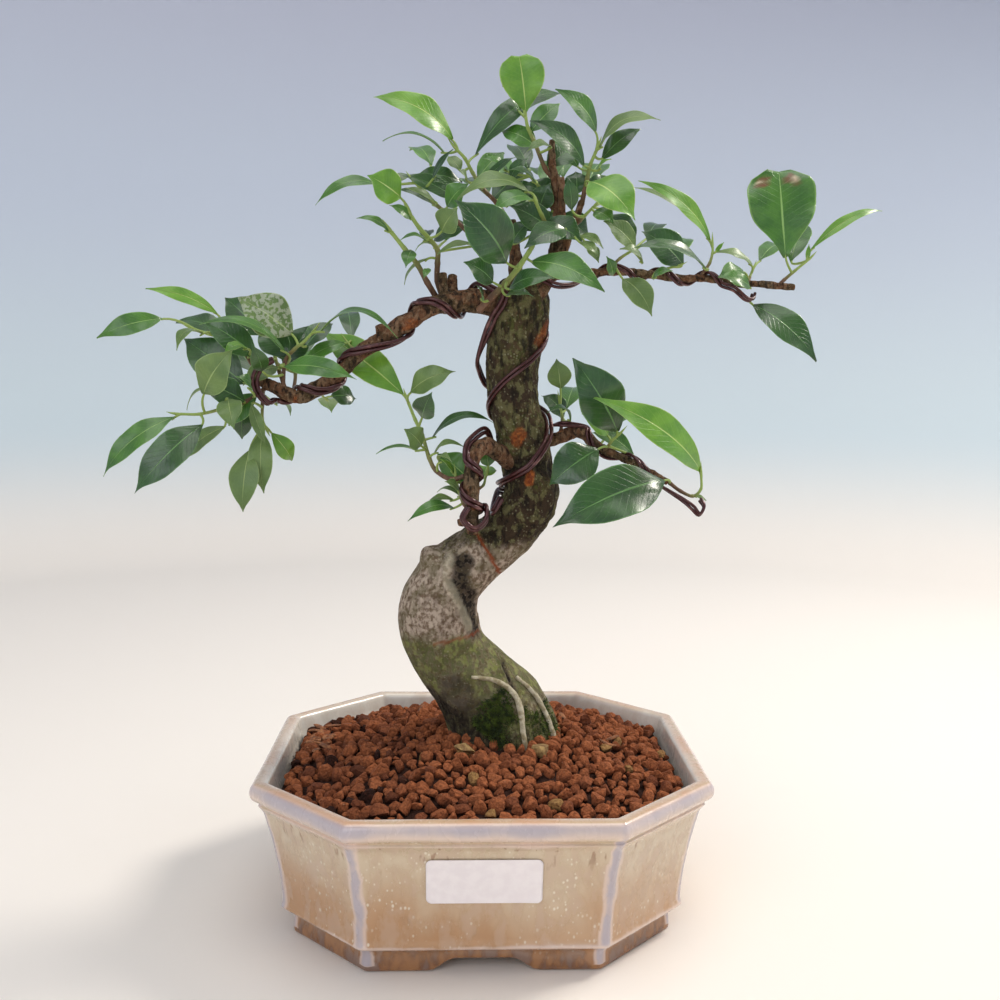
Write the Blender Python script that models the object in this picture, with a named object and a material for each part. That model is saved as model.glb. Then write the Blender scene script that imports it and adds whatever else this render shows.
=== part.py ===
"""A small fig bonsai in a glazed eight-sided pot.

Sizes are in millimetres, +X to the right, +Y to the back, +Z up, measured from the middle of the pot's foot.
The finished model is moved so that its origin is the bottom centre of its bounding box.
"""

import math
from collections import namedtuple

import bmesh
import bpy
from mathutils import Matrix, Vector

MM = 0.001

# Pot: an octagon made of a rectangle with cut corners.
POT_WIDTH = 180.0
POT_DEPTH = 168.0
POT_HEIGHT = 62.6
POT_CORNER_CUT = 40.0
RIM_TOP_WIDTH = 6.4
LIP_HEIGHT = 7.0
WALL_INSET = 11.5
WALL = 6.0
FOOT_HEIGHT = 11.0
FOOT_INSET = 15.4
FOOT_RING = 9.0
FOOT_RECESS = 5.6
ARCH_WIDTH = 41.0
ARCH_SLOPE = 10.0
ARCH_HEIGHT = 5.0
FLOOR_THICKNESS = 6.0
DRAIN_HOLE = 16.0
DRAIN_SPACING = 62.0
MESH_SIZE = 26.0
MESH_THICKNESS = 1.0
MESH_BAR = 1.6
MESH_CELLS = 3

# Soil, stones and label.
SOIL_BELOW_RIM = 7.0
MOUND_HEIGHT = 13.0
LABEL_WIDTH = 42.0
LABEL_HEIGHT = 18.0
LABEL_THICKNESS = 0.4
LABEL_CORNER = 2.0
LABEL_MIDDLE = 0.615 * POT_HEIGHT
STONE_SIZE = 7.0

# Clearances between pieces.
GAP = 0.35
WIRE_GAP = 0.35

# Training wire.
WIRE_THICK = 1.7
WIRE_THIN = 1.3

# Foliage.
LEAF_THICKNESS = 0.7
PETIOLE = 1.3
LEAF_FOLD = 0.22

TRUNK_SIDES = 12
BRANCH_SIDES = 8
TWIG_SIDES = 4
WIRE_SIDES = 5
WIRE_SAG = 0.3

# Each point of a stem is (x, y, z, radius).
TRUNK = [
    (13, 10, 36, 20), (11, 9, 54, 23), (10, 8, 65, 22.5), (6, 8, 76, 21), (-4, 7, 89, 18), (-14, 6, 102, 16.5),
    (-19, 5, 118, 16.8), (-15, 4, 132, 14.8), (-5, 3, 142, 13), (7, 2, 151, 11.8), (15, 1, 160, 11.3),
    (20, 0, 170, 11.2), (18, 0, 183, 10.8), (15, 0, 197, 10.2), (12, 0, 211, 10.3), (12, 0, 226, 11),
    (14, 0, 240, 11.6), (15, 0, 250, 11.2), (15, 0, 256, 9),
]
BRANCHES = {
    "left_branch": [
        (10, 0, 247, 5.6), (-4, -3, 249, 4.9), (-14, -5, 248, 4.2), (-22, -6, 246, 3.7), (-31, -5, 240, 3.4),
        (-40, -4, 234, 3.3), (-50, -3, 228, 3), (-58, -3, 220, 2.8), (-66, -4, 214, 2.8), (-75, -5, 210, 2.8),
        (-83, -5, 213, 2.6), (-90, -4, 216, 2.3), (-95, -4, 217, 1.8),
    ],
    "right_branch": [
        (26, 2, 260, 2.4), (36, 0, 260.5, 1.9), (46, -1, 261, 1.7), (54, -2, 261.5, 1.6), (66, -2, 260.5, 1.6),
        (79, -2, 259, 1.6), (91, -2, 259, 1.5), (102, -1, 257.5, 1.5), (115, 0, 257, 1.4), (127, 1, 256, 1.3),
    ],
    "low_right_branch": [
        (17, 1, 190, 3), (33, 4, 194, 2.5), (38, 2, 196.5, 2.3), (42, 0, 195.5, 2.1), (47, -3, 190.5, 1.9),
        (57, -6, 186, 1.6), (67, -8, 181, 1.4), (75, -9, 176.5, 1.3),
    ],
    "low_left_branch": [
        (17, 1, 180, 4.4), (6, -8, 188, 3.7), (1, -14, 191, 3.4), (-3, -18, 189, 3), (-5, -20, 183, 2.8),
        (-5, -21, 176, 2.8), (-5, -21, 169, 2.6), (-4.5, -21, 163, 2.4), (-4.5, -21, 157, 2.2),
    ],
    "apex_branch": [
        (18, 2, 250, 4), (26, 2, 261, 3.3), (28.5, 2, 269, 2.5), (29.5, 2, 278, 2.1), (29, 2, 288, 1.9),
        (28.5, 1, 297, 1.8), (27, 0, 305, 1.5), (27, 0, 313, 1.2),
    ],
    "apex_left_branch": [
        (14, 4, 249, 4.2), (13, 6, 261, 3.1), (12.5, 6, 269, 2.2), (12, 6, 276, 1.9), (11, 5, 282, 1.6),
    ],
    "apex_right_branch": [
        (20, -5, 249, 3.4), (27, -7, 260, 2.2), (31, -7, 268, 1.9), (33.5, -6, 275, 1.7), (36.5, -4, 282, 1.5),
        (39, -2, 289, 1.2),
    ],
}
GROWS_FROM = {"right_branch": "apex_branch"}
STUBS = {
    "left_branch": [
        [(-15, -5, 249, 2.8), (-16.5, -4, 254, 2.2), (-17, -3, 259.5, 1.7)],
        [(-13, -4, 249, 2.8), (-13, -1, 254, 2.2), (-13, 1, 259, 1.8)],
        [(-41, -4, 235, 2.6), (-42, -5, 238.5, 2)],
    ],
    "low_left_branch": [[(-4.5, -21, 163, 2.2), (-8, -21, 161.5, 1.9), (-10, -21, 161, 1.4)]],
    "apex_branch": [[(28.5, 2, 268, 2), (31, 0, 280, 1.6), (30.5, -2, 298, 1.4)]],
}

Leaf = namedtuple("Leaf", "base tip width face arch tone")
Shoot = namedtuple("Shoot", "name branch thick twig leaves")

# Each leaf: where its blade starts and ends, its width, how far its upper side turns from the sky (0 degrees)
# towards the front (90), how high its midrib arches as a share of its length, and its colour.
SHOOTS = [
    Shoot("left_far_shoot", "left_branch", 1.5, [
        (-87, -4, 215), (-94, -2, 223), (-101, 0, 232), (-112, 2, 235), (-118, 2, 237)
    ], [
        Leaf((-107, -4, 243), (-133, -12, 252), 6, 65, 0.14, "young"),
        Leaf((-130, 0, 241), (-154, -8, 233), 9, 75, 0.16, "green"),
        Leaf((-106, 12, 235), (-131, 24, 241), 11, 40, 0.1, "dark"),
        Leaf((-112, -8, 235), (-120, -18, 228), 7, 10, 0.3, "olive"),
        Leaf((-94, -12, 229), (-101, -22, 227), 6, 40, 0.2, "young"),
    ]),
    Shoot("left_crown_shoot", "left_branch", 1.6, [
        (-81, 2, 212), (-84, 4, 220), (-86, 6, 226), (-88, 8, 233)
    ], [
        Leaf((-90, 9, 235), (-108, 14, 251), 15, 70, 0.08, "dark"),
        Leaf((-79, -12, 228), (-109, -24, 239), 7, 35, 0.18, "green"),
        Leaf((-100, 12, 215), (-127, 20, 234), 18, 75, 0.06, "dark"),
        Leaf((-96, 18, 219), (-112, 40, 232), 12, 30, 0.1, "dark"),
    ]),
    Shoot("left_back_shoot", "left_branch", 1.5, [(-79, 6, 210), (-79, 14, 219), (-82, 26, 227)], [
        Leaf((-85, 30, 230), (-103, 52, 242), 11, 20, 0.12, "green"),
        Leaf((-80, 34, 225), (-78, 60, 239), 11, 10, 0.14, "dark"),
        Leaf((-81, 30, 220), (-65, 58, 220), 11, 25, 0.12, "dark"),
    ]),
    Shoot("left_top_shoot", "left_branch", 1.5, [
        (-81, -6, 213), (-80, -6, 224), (-76, -7, 229), (-72, -8, 232), (-69, -9, 235)
    ], [
        Leaf((-77, -6, 235), (-97, -12, 249), 18, 70, 0.1, "olive"),
        Leaf((-65, -12, 236), (-34, -20, 234), 6, 25, 0.3, "green"),
        Leaf((-79, -16, 222), (-50, -26, 218), 9, 60, 0.1, "green"),
        Leaf((-87, -18, 220), (-89, -26, 230), 7, 60, 0.15, "dark"),
        Leaf((-75, 2, 231), (-64, 12, 238), 7, 40, 0.15, "dark"),
    ]),
    Shoot("left_low_shoot", "left_branch", 1.5, [
        (-89, -3, 213), (-96, -5, 208), (-105, -9, 205), (-113, -12, 203), (-120, -14, 203)
    ], [
        Leaf((-122, -15, 202), (-148, -26, 180), 10, 55, 0.16, "green"),
        Leaf((-111, -16, 199), (-135, -28, 173), 15, 65, 0.14, "dark"),
        Leaf((-110, -18, 211), (-97, -26, 228), 15, 75, 0.12, "olive"),
        Leaf((-106, -4, 212), (-120, -6, 205), 3, 15, 0.3, "olive"),
        Leaf((-104, -8, 198), (-124, 0, 183), 8, 60, 0.12, "olive"),
        Leaf((-100, -20, 209), (-96, -30, 198), 10, 60, 0.2, "olive"),
        Leaf((-97, 0, 207), (-100, 4, 192), 9, 60, 0.1, "dark"),
        Leaf((-91, -22, 213), (-94, -32, 218), 6, 60, 0.2, "green"),
    ]),
    Shoot("left_hanging_shoot", "left_branch", 1.4, [
        (-90, 0, 213), (-90, -2, 207), (-90, -3, 201), (-89, -3, 198)
    ], [
        Leaf((-93, -10, 207), (-87, -14, 191), 5, 60, 0.15, "olive"),
        Leaf((-90, -4, 196), (-89, -8, 171), 10, 60, 0.1, "olive"),
        Leaf((-87, 1, 195), (-80, 8, 183), 8, 60, 0.25, "young"),
        Leaf((-95, -6, 188), (-97, -12, 164), 12, 55, 0.12, "olive"),
        Leaf((-87, 10, 207), (-82, 20, 202), 5, 30, 0.2, "dark"),
    ]),
    Shoot("left_mid_shoot", "left_branch", 1.2, [(-67, -3, 214), (-67, 4, 211), (-66, 9, 209)], [
        Leaf((-64, 12, 210), (-54, 18, 209), 10, 60, 0.1, "dark"),
        Leaf((-66, 14, 209), (-66, 30, 203), 9, 30, 0.1, "green"),
    ]),
    Shoot("left_inner_shoot", "left_branch", 1.2, [(-51, 0, 228), (-54, 4, 230), (-56, 6, 232)], [
        Leaf((-57, 6, 232), (-74, 0, 224), 7, 55, 0.15, "green"),
    ]),
    Shoot("left_rising_twig", "left_branch", 2.2, [
        (-18, -1, 248), (-23, -5, 256), (-27, -6, 263), (-32, -8, 269), (-37, -9, 275)
    ], [
        Leaf((-38, -10, 275), (-50, -14, 280), 4, 50, 0.2, "green"),
        Leaf((-29, -10, 268), (-31, -16, 261), 6, 60, 0.15, "green"),
        Leaf((-22, -10, 261), (-24, -16, 257), 3, 60, 0.1, "green"),
    ]),
    Shoot("left_leafy_twig", "left_branch", 2.2, [
        (-16, 2, 248), (-19, 0, 257), (-19, -2, 264), (-19, -3, 269), (-22, -5, 273), (-26, -7, 277),
        (-29, -9, 281)
    ], [
        Leaf((-33, -12, 288), (-45, -20, 295), 14, 72, 0.08, "young"),
        Leaf((-29, -9, 280), (-37, -14, 285), 5, 55, 0.12, "green"),
        Leaf((-23, -8, 272), (-33, -14, 272), 4, 30, 0.2, "green"),
        Leaf((-24, 2, 274), (-23, 14, 279), 6, 30, 0.1, "dark"),
        Leaf((-17, -14, 275), (-11, -20, 283), 11, 70, 0.12, "olive"),
        Leaf((-19, -4, 270), (-28, -2, 269), 3, 20, 0.3, "green"),
        Leaf((-3, -2, 271), (-19, -8, 267), 5, 30, 0.16, "olive"),
        Leaf((-16, 6, 274), (-12, 30, 280), 8, 20, 0.1, "green"),
        Leaf((-23, -2, 266), (-33, 2, 256), 3, 30, 0.15, "olive"),
    ]),
    Shoot("apex_left_shoot", "apex_left_branch", 1.6, [
        (-3, 4, 273), (-13, 3, 283), (-19, 2, 287), (-25, 2, 293), (-28, 2, 296)
    ], [
        Leaf((-27, 5, 300), (-9, 8, 298), 8, 65, 0.12, "dark"),
        Leaf((-41, 0, 294), (-67, -8, 286), 6, 50, 0.22, "green"),
        Leaf((-20, -4, 288), (-31, -12, 292), 4, 55, 0.1, "olive"),
        Leaf((-20, 8, 288), (-37, 14, 296), 3, 50, 0.1, "dark"),
        Leaf((-21, -2, 297), (-13, -6, 308), 4, 40, 0.1, "dark"),
        Leaf((-15, -10, 285), (-7, -16, 293), 10, 65, 0.12, "green"),
        Leaf((-22, 12, 305), (-32, 36, 316), 10, 20, 0.12, "green"),
        Leaf((-27, 16, 300), (-40, 40, 301), 9, 10, 0.12, "dark"),
    ]),
    Shoot("apex_back_left_shoot", "apex_left_branch", 1.5, [(11, 8, 278), (8, 20, 288), (5, 34, 296)], [
        Leaf((2, 36, 297), (-11, 58, 307), 12, 20, 0.12, "dark"),
        Leaf((6, 40, 301), (8, 62, 318), 11, 10, 0.12, "green"),
        Leaf((10, 34, 292), (22, 60, 304), 11, 20, 0.12, "green"),
    ]),
    Shoot("apex_rising_shoot", "apex_left_branch", 1.7, [
        (11, 4, 280), (5, 1, 288), (-1, 0, 294), (-5, 0, 300), (-8, -2, 305), (-11, -3, 308)
    ], [
        Leaf((-13, -4, 312), (-43, -14, 326), 13, 60, 0.18, "young"),
        Leaf((-16, 2, 308), (-41, 2, 313), 3, 20, 0.2, "green"),
        Leaf((-4, 6, 308), (35, 20, 336), 11, 50, 0.2, "dark"),
        Leaf((0, -8, 294), (11, -14, 304), 5, 50, 0.1, "dark"),
        Leaf((-10, 2, 301), (-15, 8, 308), 6, 40, 0.1, "olive"),
        Leaf((-7, -10, 295), (-10, -16, 298), 5, 60, 0.1, "olive"),
    ]),
    Shoot("apex_front_shoot", "trunk", 2.6, [
        (-2, -11, 245), (3, -14, 250), (8, -17, 255), (13, -19, 261), (17, -21, 267)
    ], [
        Leaf((8, -26, 262), (-11, -40, 283), 20, 70, 0.14, "dark"),
        Leaf((18, -20, 263), (45, -32, 252), 13, 62, 0.16, "green"),
        Leaf((9, -26, 252), (25, -36, 256), 9, 60, 0.14, "dark"),
        Leaf((8, -20, 250), (18, -26, 250), 5, 45, 0.16, "dark"),
        Leaf((3, -21, 255), (-8, -28, 262), 11, 65, 0.12, "dark"),
        Leaf((-1, -18, 248), (-3, -27, 253), 4, 60, 0.1, "dark"),
    ]),
    Shoot("apex_centre_shoot", "apex_branch", 1.8, [
        (27, 1, 299), (24, -1, 302), (20, -2, 311), (17, -3, 317), (16, -3, 321)
    ], [
        Leaf((16, -3, 323), (13, -6, 344), 18, 88, 0.1, "young"),
        Leaf((14, 1, 324), (7, 4, 335), 4, 30, 0.1, "green"),
        Leaf((26, -8, 309), (16, -14, 306), 5, 45, 0.2, "olive"),
    ]),
    Shoot("apex_right_shoot", "apex_right_branch", 1.8, [
        (39, -1, 288), (40, -2, 293), (41, -2, 298), (42, -3, 303), (44, -4, 308)
    ], [
        Leaf((44, -4, 316), (27, -12, 330), 10, 62, 0.16, "green"),
        Leaf((39, -8, 302), (17, -16, 317), 11, 58, 0.16, "dark"),
        Leaf((45, -6, 309), (67, -16, 319), 10, 40, 0.22, "olive"),
        Leaf((47, 0, 306), (62, -2, 318), 8, 65, 0.14, "dark"),
        Leaf((41, -12, 295), (57, -26, 279), 18, 60, 0.16, "young"),
        Leaf((45, -2, 301), (50, -6, 305), 3, 40, 0.2, "young"),
        Leaf((37, 0, 292), (37, 4, 302), 10, 60, 0.1, "dark"),
        Leaf((43, 14, 298), (53, 40, 311), 11, 20, 0.12, "green"),
        Leaf((38, 6, 304), (28, 14, 316), 10, 60, 0.14, "green"),
    ]),
    Shoot("apex_low_shoot", "apex_branch", 1.8, [
        (29, -1, 275), (25, -7, 278), (22, -13, 282), (20, -17, 285)
    ], [
        Leaf((18, -19, 287), (2, -27, 280), 9, 45, 0.22, "green"),
        Leaf((17, -12, 291), (-11, -20, 287), 10, 45, 0.22, "olive"),
        Leaf((32, -14, 276), (15, -24, 268), 11, 60, 0.14, "dark"),
        Leaf((11, -4, 272), (18, -10, 280), 8, 60, 0.12, "dark"),
    ]),
    Shoot("apex_inner_shoot", "apex_branch", 1.5, [
        (29, 3, 285), (25, 3, 290), (22, 2, 295), (18, 0, 299)
    ], [
        Leaf((22, 2, 286), (26, -2, 296), 10, 60, 0.1, "dark"),
        Leaf((10, -4, 297), (17, -6, 305), 6, 50, 0.16, "dark"),
        Leaf((20, -8, 295), (9, -14, 299), 5, 40, 0.2, "dark"),
        Leaf((9, -4, 300), (-1, -10, 304), 5, 50, 0.16, "green"),
        Leaf((18, 12, 304), (11, 34, 318), 10, 20, 0.12, "dark"),
        Leaf((25, 18, 297), (34, 44, 314), 11, 10, 0.12, "green"),
    ]),
    Shoot("apex_back_shoot", "apex_branch", 1.6, [
        (30, 4, 280), (33, 18, 288), (35, 34, 295), (35, 46, 301)
    ], [
        Leaf((38, 44, 298), (56, 64, 306), 12, 20, 0.12, "green"),
        Leaf((33, 50, 304), (22, 74, 315), 13, 15, 0.12, "dark"),
        Leaf((36, 52, 308), (39, 76, 326), 12, 5, 0.12, "green"),
        Leaf((33, 36, 293), (17, 60, 295), 11, 20, 0.12, "dark"),
    ]),
    Shoot("right_crown_shoot", "apex_right_branch", 1.5, [
        (35, -5, 278), (38, -5, 281), (40, -6, 283), (43, -7, 286)
    ], [
        Leaf((43, -10, 284), (50, -16, 279), 8, 60, 0.14, "green"),
        Leaf((37, -12, 274), (46, -18, 269), 5, 45, 0.2, "olive"),
        Leaf((34, -12, 284), (32, -16, 296), 6, 60, 0.1, "dark"),
        Leaf((37, -17, 271), (44, -20, 266), 5, 45, 0.16, "olive"),
        Leaf((48, 8, 290), (60, 30, 297), 11, 20, 0.12, "dark"),
        Leaf((41, -8, 271), (45, -12, 264), 5, 55, 0.16, "olive"),
    ]),
    Shoot("right_near_shoot", "right_branch", 1.3, [
        (49, 0, 261), (51, -6, 263), (54, -8, 266), (57, -9, 268), (59, -9, 269)
    ], [
        Leaf((60, -9, 270), (47, -14, 280), 10, 60, 0.1, "olive"),
        Leaf((51, -9, 259), (48, -14, 266), 5, 60, 0.12, "green"),
        Leaf((55, -9, 258), (66, -16, 243), 11, 60, 0.16, "olive"),
        Leaf((67, 4, 276), (77, 26, 283), 9, 20, 0.12, "dark"),
        Leaf((63, -10, 264), (53, -16, 269), 7, 40, 0.2, "olive"),
    ]),
    Shoot("right_mid_shoot", "right_branch", 1.3, [
        (67, -2, 260), (69, -6, 261), (72, -7, 262), (76, -7, 263)
    ], [
        Leaf((80, -5, 264), (63, -8, 277), 15, 65, 0.1, "dark"),
        Leaf((67, -9, 258), (74, -14, 261), 5, 45, 0.2, "green"),
        Leaf((78, 10, 267), (90, 34, 279), 11, 20, 0.12, "green"),
    ]),
    Shoot("right_bright_shoot", "right_branch", 1.3, [
        (88, -2, 260), (89, -4, 262), (91, -4, 265), (92, -4, 269), (92, -4, 271)
    ], [
        Leaf((91, -3, 274), (61, -14, 296), 8, 60, 0.14, "young"),
        Leaf((85, 10, 286), (62, 14, 298), 4, 40, 0.1, "olive"),
        Leaf((88, -12, 262), (57, -24, 269), 8, 40, 0.14, "dark"),
        Leaf((93, -4, 269), (96, -6, 273), 2, 50, 0.05, "young"),
    ]),
    Shoot("right_upper_shoot", "right_branch", 1.3, [(108, 0, 257), (109, 2, 260), (110, 3, 262)], [
        Leaf((110, 2, 265), (94, -2, 270), 6, 40, 0.12, "olive"),
        Leaf((105, -3, 262), (93, -12, 259), 8, 55, 0.14, "green"),
        Leaf((116, 14, 268), (135, 40, 276), 10, 20, 0.12, "green"),
    ]),
    Shoot("right_low_shoot", "right_branch", 1.3, [
        (103, 2, 257), (105, 4, 255), (107, 4, 253), (109, 4, 251)
    ], [
        Leaf((111, 3, 249), (135, -8, 226), 14, 62, 0.14, "dark"),
    ]),
    Shoot("right_end_shoot", "right_branch", 1.4, [
        (121, 1, 257), (123, 1, 259), (128, 3, 263), (133, 4, 267)
    ], [
        Leaf((123, 0, 268), (121, 6, 304), 29, 88, 0.06, "olive"),
        Leaf((135, 5, 272), (166, 10, 290), 5, 50, 0.12, "young"),
        Leaf((133, 4, 267), (134, 5, 274), 2, 50, 0.05, "young"),
        Leaf((130, 16, 268), (142, 36, 286), 11, 10, 0.12, "green"),
    ]),
    Shoot("low_right_inner_shoot", "low_right_branch", 1.4, [(32, 5, 195), (33, 6, 201), (32, 6, 207)], [
        Leaf((32, 5, 214), (30, 2, 226), 10, 86, 0.1, "olive"),
        Leaf((34, 13, 201), (25, 16, 211), 9, 45, 0.26, "dark"),
        Leaf((36, 0, 201), (26, -8, 205), 4, 30, 0.3, "dark"),
    ]),
    Shoot("low_right_shoot", "low_right_branch", 1.4, [
        (47, -3, 190), (50, -6, 190), (52, -8, 193), (54, -9, 195)
    ], [
        Leaf((54, -10, 197), (35, -20, 226), 20, 70, 0.12, "dark"),
        Leaf((51, -4, 195), (40, -8, 204), 8, 62, 0.14, "young"),
        Leaf((62, -2, 187), (45, 4, 196), 8, 50, 0.2, "green"),
        Leaf((46, -12, 190), (26, -18, 176), 17, 65, 0.12, "dark"),
    ]),
    Shoot("low_right_end_shoot", "low_right_branch", 1.4, [
        (76, -9, 176), (80, -11, 173), (85, -12, 171), (88, -13, 174), (88, -13, 179)
    ], [
        Leaf((88, -12, 181), (43, -26, 211), 15, 62, 0.16, "young"),
        Leaf((72, -18, 178), (26, -40, 162), 22, 62, 0.12, "dark"),
        Leaf((88, -8, 182), (79, -4, 199), 4, 40, 0.08, "olive"),
        Leaf((86, -8, 171), (91, -10, 169), 2, 40, 0.1, "olive"),
    ]),
    Shoot("hanging_shoot", "low_left_branch", 1.8, [
        (-6, -19, 180), (-13, -18, 178), (-19, -15, 181), (-22, -12, 186), (-25, -7, 195),
        (-28, -3, 201), (-31, 0, 208)
    ], [
        Leaf((-33, 2, 211), (-68, 18, 237), 15, 65, 0.12, "young"),
        Leaf((-30, -5, 212), (-12, -10, 221), 11, 60, 0.16, "olive"),
        Leaf((-25, -9, 202), (-21, -18, 212), 10, 70, 0.12, "dark"),
        Leaf((-25, -15, 191), (-31, -22, 198), 10, 60, 0.12, "olive"),
        Leaf((-21, -8, 194), (4, -6, 201), 6, 30, 0.24, "dark"),
        Leaf((-20, -13, 188), (-8, -16, 191), 4, 30, 0.3, "olive"),
        Leaf((-26, -11, 189), (-43, -15, 188), 3, 20, 0.14, "green"),
        Leaf((-18, -20, 185), (-13, -26, 186), 4, 30, 0.4, "olive"),
    ]),
    Shoot("low_left_side_shoot", "low_left_branch", 1.3, [
        (-5, -19, 165), (-8, -18, 168), (-10, -17, 173), (-11, -16, 178)
    ], [
        Leaf((-12, -14, 166), (-30, -22, 162), 6, 45, 0.26, "green"),
        Leaf((-12, -12, 169), (-23, -10, 167), 4, 35, 0.26, "olive"),
        Leaf((-9, -10, 170), (-19, -6, 172), 3, 30, 0.3, "olive"),
        Leaf((-5, -9, 176), (-19, -2, 187), 12, 65, 0.12, "green"),
        Leaf((-12, -14, 180), (-17, -18, 186), 3, 40, 0.1, "young"),
        Leaf((-10, -20, 174), (-15, -26, 178), 5, 50, 0.1, "olive"),
    ]),
    Shoot("low_left_inner_shoot", "low_left_branch", 1.3, [
        (-5, -20, 173), (-2, -15, 174), (0, -9, 175), (1, -4, 178)
    ], [
        Leaf((0, 5, 177), (2, 13, 181), 9, 60, 0.12, "young"),
        Leaf((2, -4, 182), (1, -4, 188), 6, 60, 0.1, "green"),
    ]),
]

# Training wires. A stop is (piece, share of its length, angle round it, lift); the angle is 0 at the front
# and grows towards the right on the upright trunk, and over the top on a branch that runs to the left.
# A plain (x, y, z) is a point in the air.
WIRES = {
    "wire_left": (WIRE_THICK, [
        ("trunk", 0.622, -108, 0.5), ("trunk", 0.63, -80, 0.8), ("trunk", 0.665, 0, 0.8),
        ("trunk", 0.705, 60, 0.8), ("trunk", 0.74, 105, 0.8), ("trunk", 0.775, 180, 0.8),
        ("trunk", 0.80, 250, 0.9), ("trunk", 0.83, 285, 3), ("trunk", 0.87, 300, 1.5),
        ("trunk", 0.925, 322, 0.4), ("trunk", 0.955, 326, 1),
        (4, -9.5, 253), ("left_branch", 0.07, 80, 1.2), ("left_branch", 0.10, 180, 0.4),
        ("left_branch", 0.15, 280, 0.3), ("left_branch", 0.20, 350, 0), ("left_branch", 0.27, 420, 0),
        ("left_branch", 0.31, 510, 0), ("left_branch", 0.36, 630, 0), ("left_branch", 0.44, 690, 0),
        ("left_branch", 0.50, 730, 0), ("left_branch", 0.55, 800, 0), ("left_branch", 0.58, 900, 0),
        ("left_branch", 0.62, 1000, 0), ("left_branch", 0.68, 1060, 0), ("left_branch", 0.73, 1130, 0),
        ("left_branch", 0.76, 1220, 0), ("left_branch", 0.79, 1320, 0), ("left_branch", 0.83, 1370, 1),
        (-86, -11.5, 207.5), (-90, -12, 212), (-91, -12, 217.5), (-88, -12, 222.5), (-84, -12, 224.5),
    ]),
    "wire_low_left": (WIRE_THICK, [
        (7, -10.5, 169.5), (3.5, -10, 164), ("trunk", 0.59, -110, 1.6), ("trunk", 0.61, -165, 0.3),
        ("trunk", 0.66, -175, 0), ("trunk", 0.70, -105, 1), (2, -7.5, 195.5), (-0.5, -11.5, 197),
        ("low_left_branch", 0.36, 80, 1.1), ("low_left_branch", 0.42, 62, 1),
        ("low_left_branch", 0.47, 40, 0.2), ("low_left_branch", 0.52, -40, 0),
        ("low_left_branch", 0.56, -120, 0), ("low_left_branch", 0.61, -200, 0),
        ("low_left_branch", 0.66, -270, 0), ("low_left_branch", 0.72, -330, 0),
        ("low_left_branch", 0.77, -400, 0), ("low_left_branch", 0.81, -470, 0),
        ("low_left_branch", 0.84, -530, 0.6), (0.6, -19, 167), (0.6, -23, 162), (-4, -25.5, 159),
        (-8.4, -25.5, 163),
        (-6.5, -25.5, 167.4),
    ]),
    "wire_low_right": (WIRE_THIN, [
        ("trunk", 0.905, 165, 0), ("trunk", 0.89, 120, 0), ("trunk", 0.87, 80, 0), ("trunk", 0.83, 30, 0),
        ("trunk", 0.80, -20, 0), ("trunk", 0.775, -60, 0), ("trunk", 0.75, -110, 0),
        ("trunk", 0.728, -180, 0),
        ("trunk", 0.712, -232, 0.4), ("trunk", 0.718, -258, 3.2), (33, -1, 199.5),
        ("low_right_branch", 0.40, -70, 0), ("low_right_branch", 0.58, 60, 0),
        ("low_right_branch", 0.68, 160, 0), ("low_right_branch", 0.75, 260, 0),
        ("low_right_branch", 0.84, 360, 0), ("low_right_branch", 0.93, 450, 0.3),
        (80, -14.5, 170), (84, -16, 167), (87, -16, 164), (89, -15, 167), (88, -12.5, 169.5),
    ]),
    "wire_right": (WIRE_THIN, [
        (12, -13, 258), (20, -12, 258.5), (28, -11, 255), (35, -6, 255.5), ("right_branch", 0.16, 60, 0.3),
        ("right_branch", 0.22, 170, 0), ("right_branch", 0.28, 265, 0), ("right_branch", 0.37, 360, 0),
        ("right_branch", 0.45, 540, 0), ("right_branch", 0.53, 720, 0), ("right_branch", 0.62, 900, 0),
        ("right_branch", 0.70, 1080, 0), ("right_branch", 0.72, 1115, 0.8), (101, -6, 254.5),
        (105.5, -5.5, 251),
        (108.5, -4, 250.5), (110, -1, 253),
    ]),
}

AERIAL_ROOTS = {
    "aerial_root_front": [(0.245, 12), (0.222, 30), (0.20, 38), (0.175, 34), (0.14, 24), (0.09, 19), (0.05, 16)],
    "aerial_root_right": [(0.20, 60), (0.17, 61), (0.14, 62), (0.115, 60), (0.09, 57), (0.05, 52)],
}
AERIAL_ROOT_SIZE = 3.0
MOSS_PADS = {"moss_left": (-42, -4, 0.09, 0.20), "moss_right": (40, 52, 0.08, 0.13)}
MOSS_THICKNESS = 3.2
STONES = {"stone_left": (-7, -19, 1.2), "stone_front": (24, -20, 1.0)}

COLOURS = {
    "glaze": ((0.62, 0.50, 0.37), 0.3),
    "soil": ((0.20, 0.08, 0.035), 0.9),
    "paper": ((0.86, 0.78, 0.74), 0.6),
    "mesh": ((0.05, 0.05, 0.05), 0.5),
    "bark": ((0.13, 0.09, 0.06), 0.85),
    "twig": ((0.20, 0.14, 0.07), 0.7),
    "root": ((0.55, 0.50, 0.38), 0.8),
    "moss": ((0.07, 0.12, 0.02), 0.95),
    "stone": ((0.45, 0.34, 0.18), 0.8),
    "wire": ((0.13, 0.03, 0.03), 0.35),
    "leaf": ((0.05, 0.14, 0.02), 0.3),
}


def material(name):
    """A Principled material in one of the colours above."""
    found = bpy.data.materials.get(name)
    if found:
        return found
    colour, roughness = COLOURS[name]
    made = bpy.data.materials.new(name)
    made.use_nodes = True
    shader = made.node_tree.nodes["Principled BSDF"]
    shader.inputs["Base Color"].default_value = (*colour, 1)
    shader.inputs["Roughness"].default_value = roughness
    shader.inputs["Metallic"].default_value = 0.8 if name == "wire" else 0.0
    return made


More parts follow.
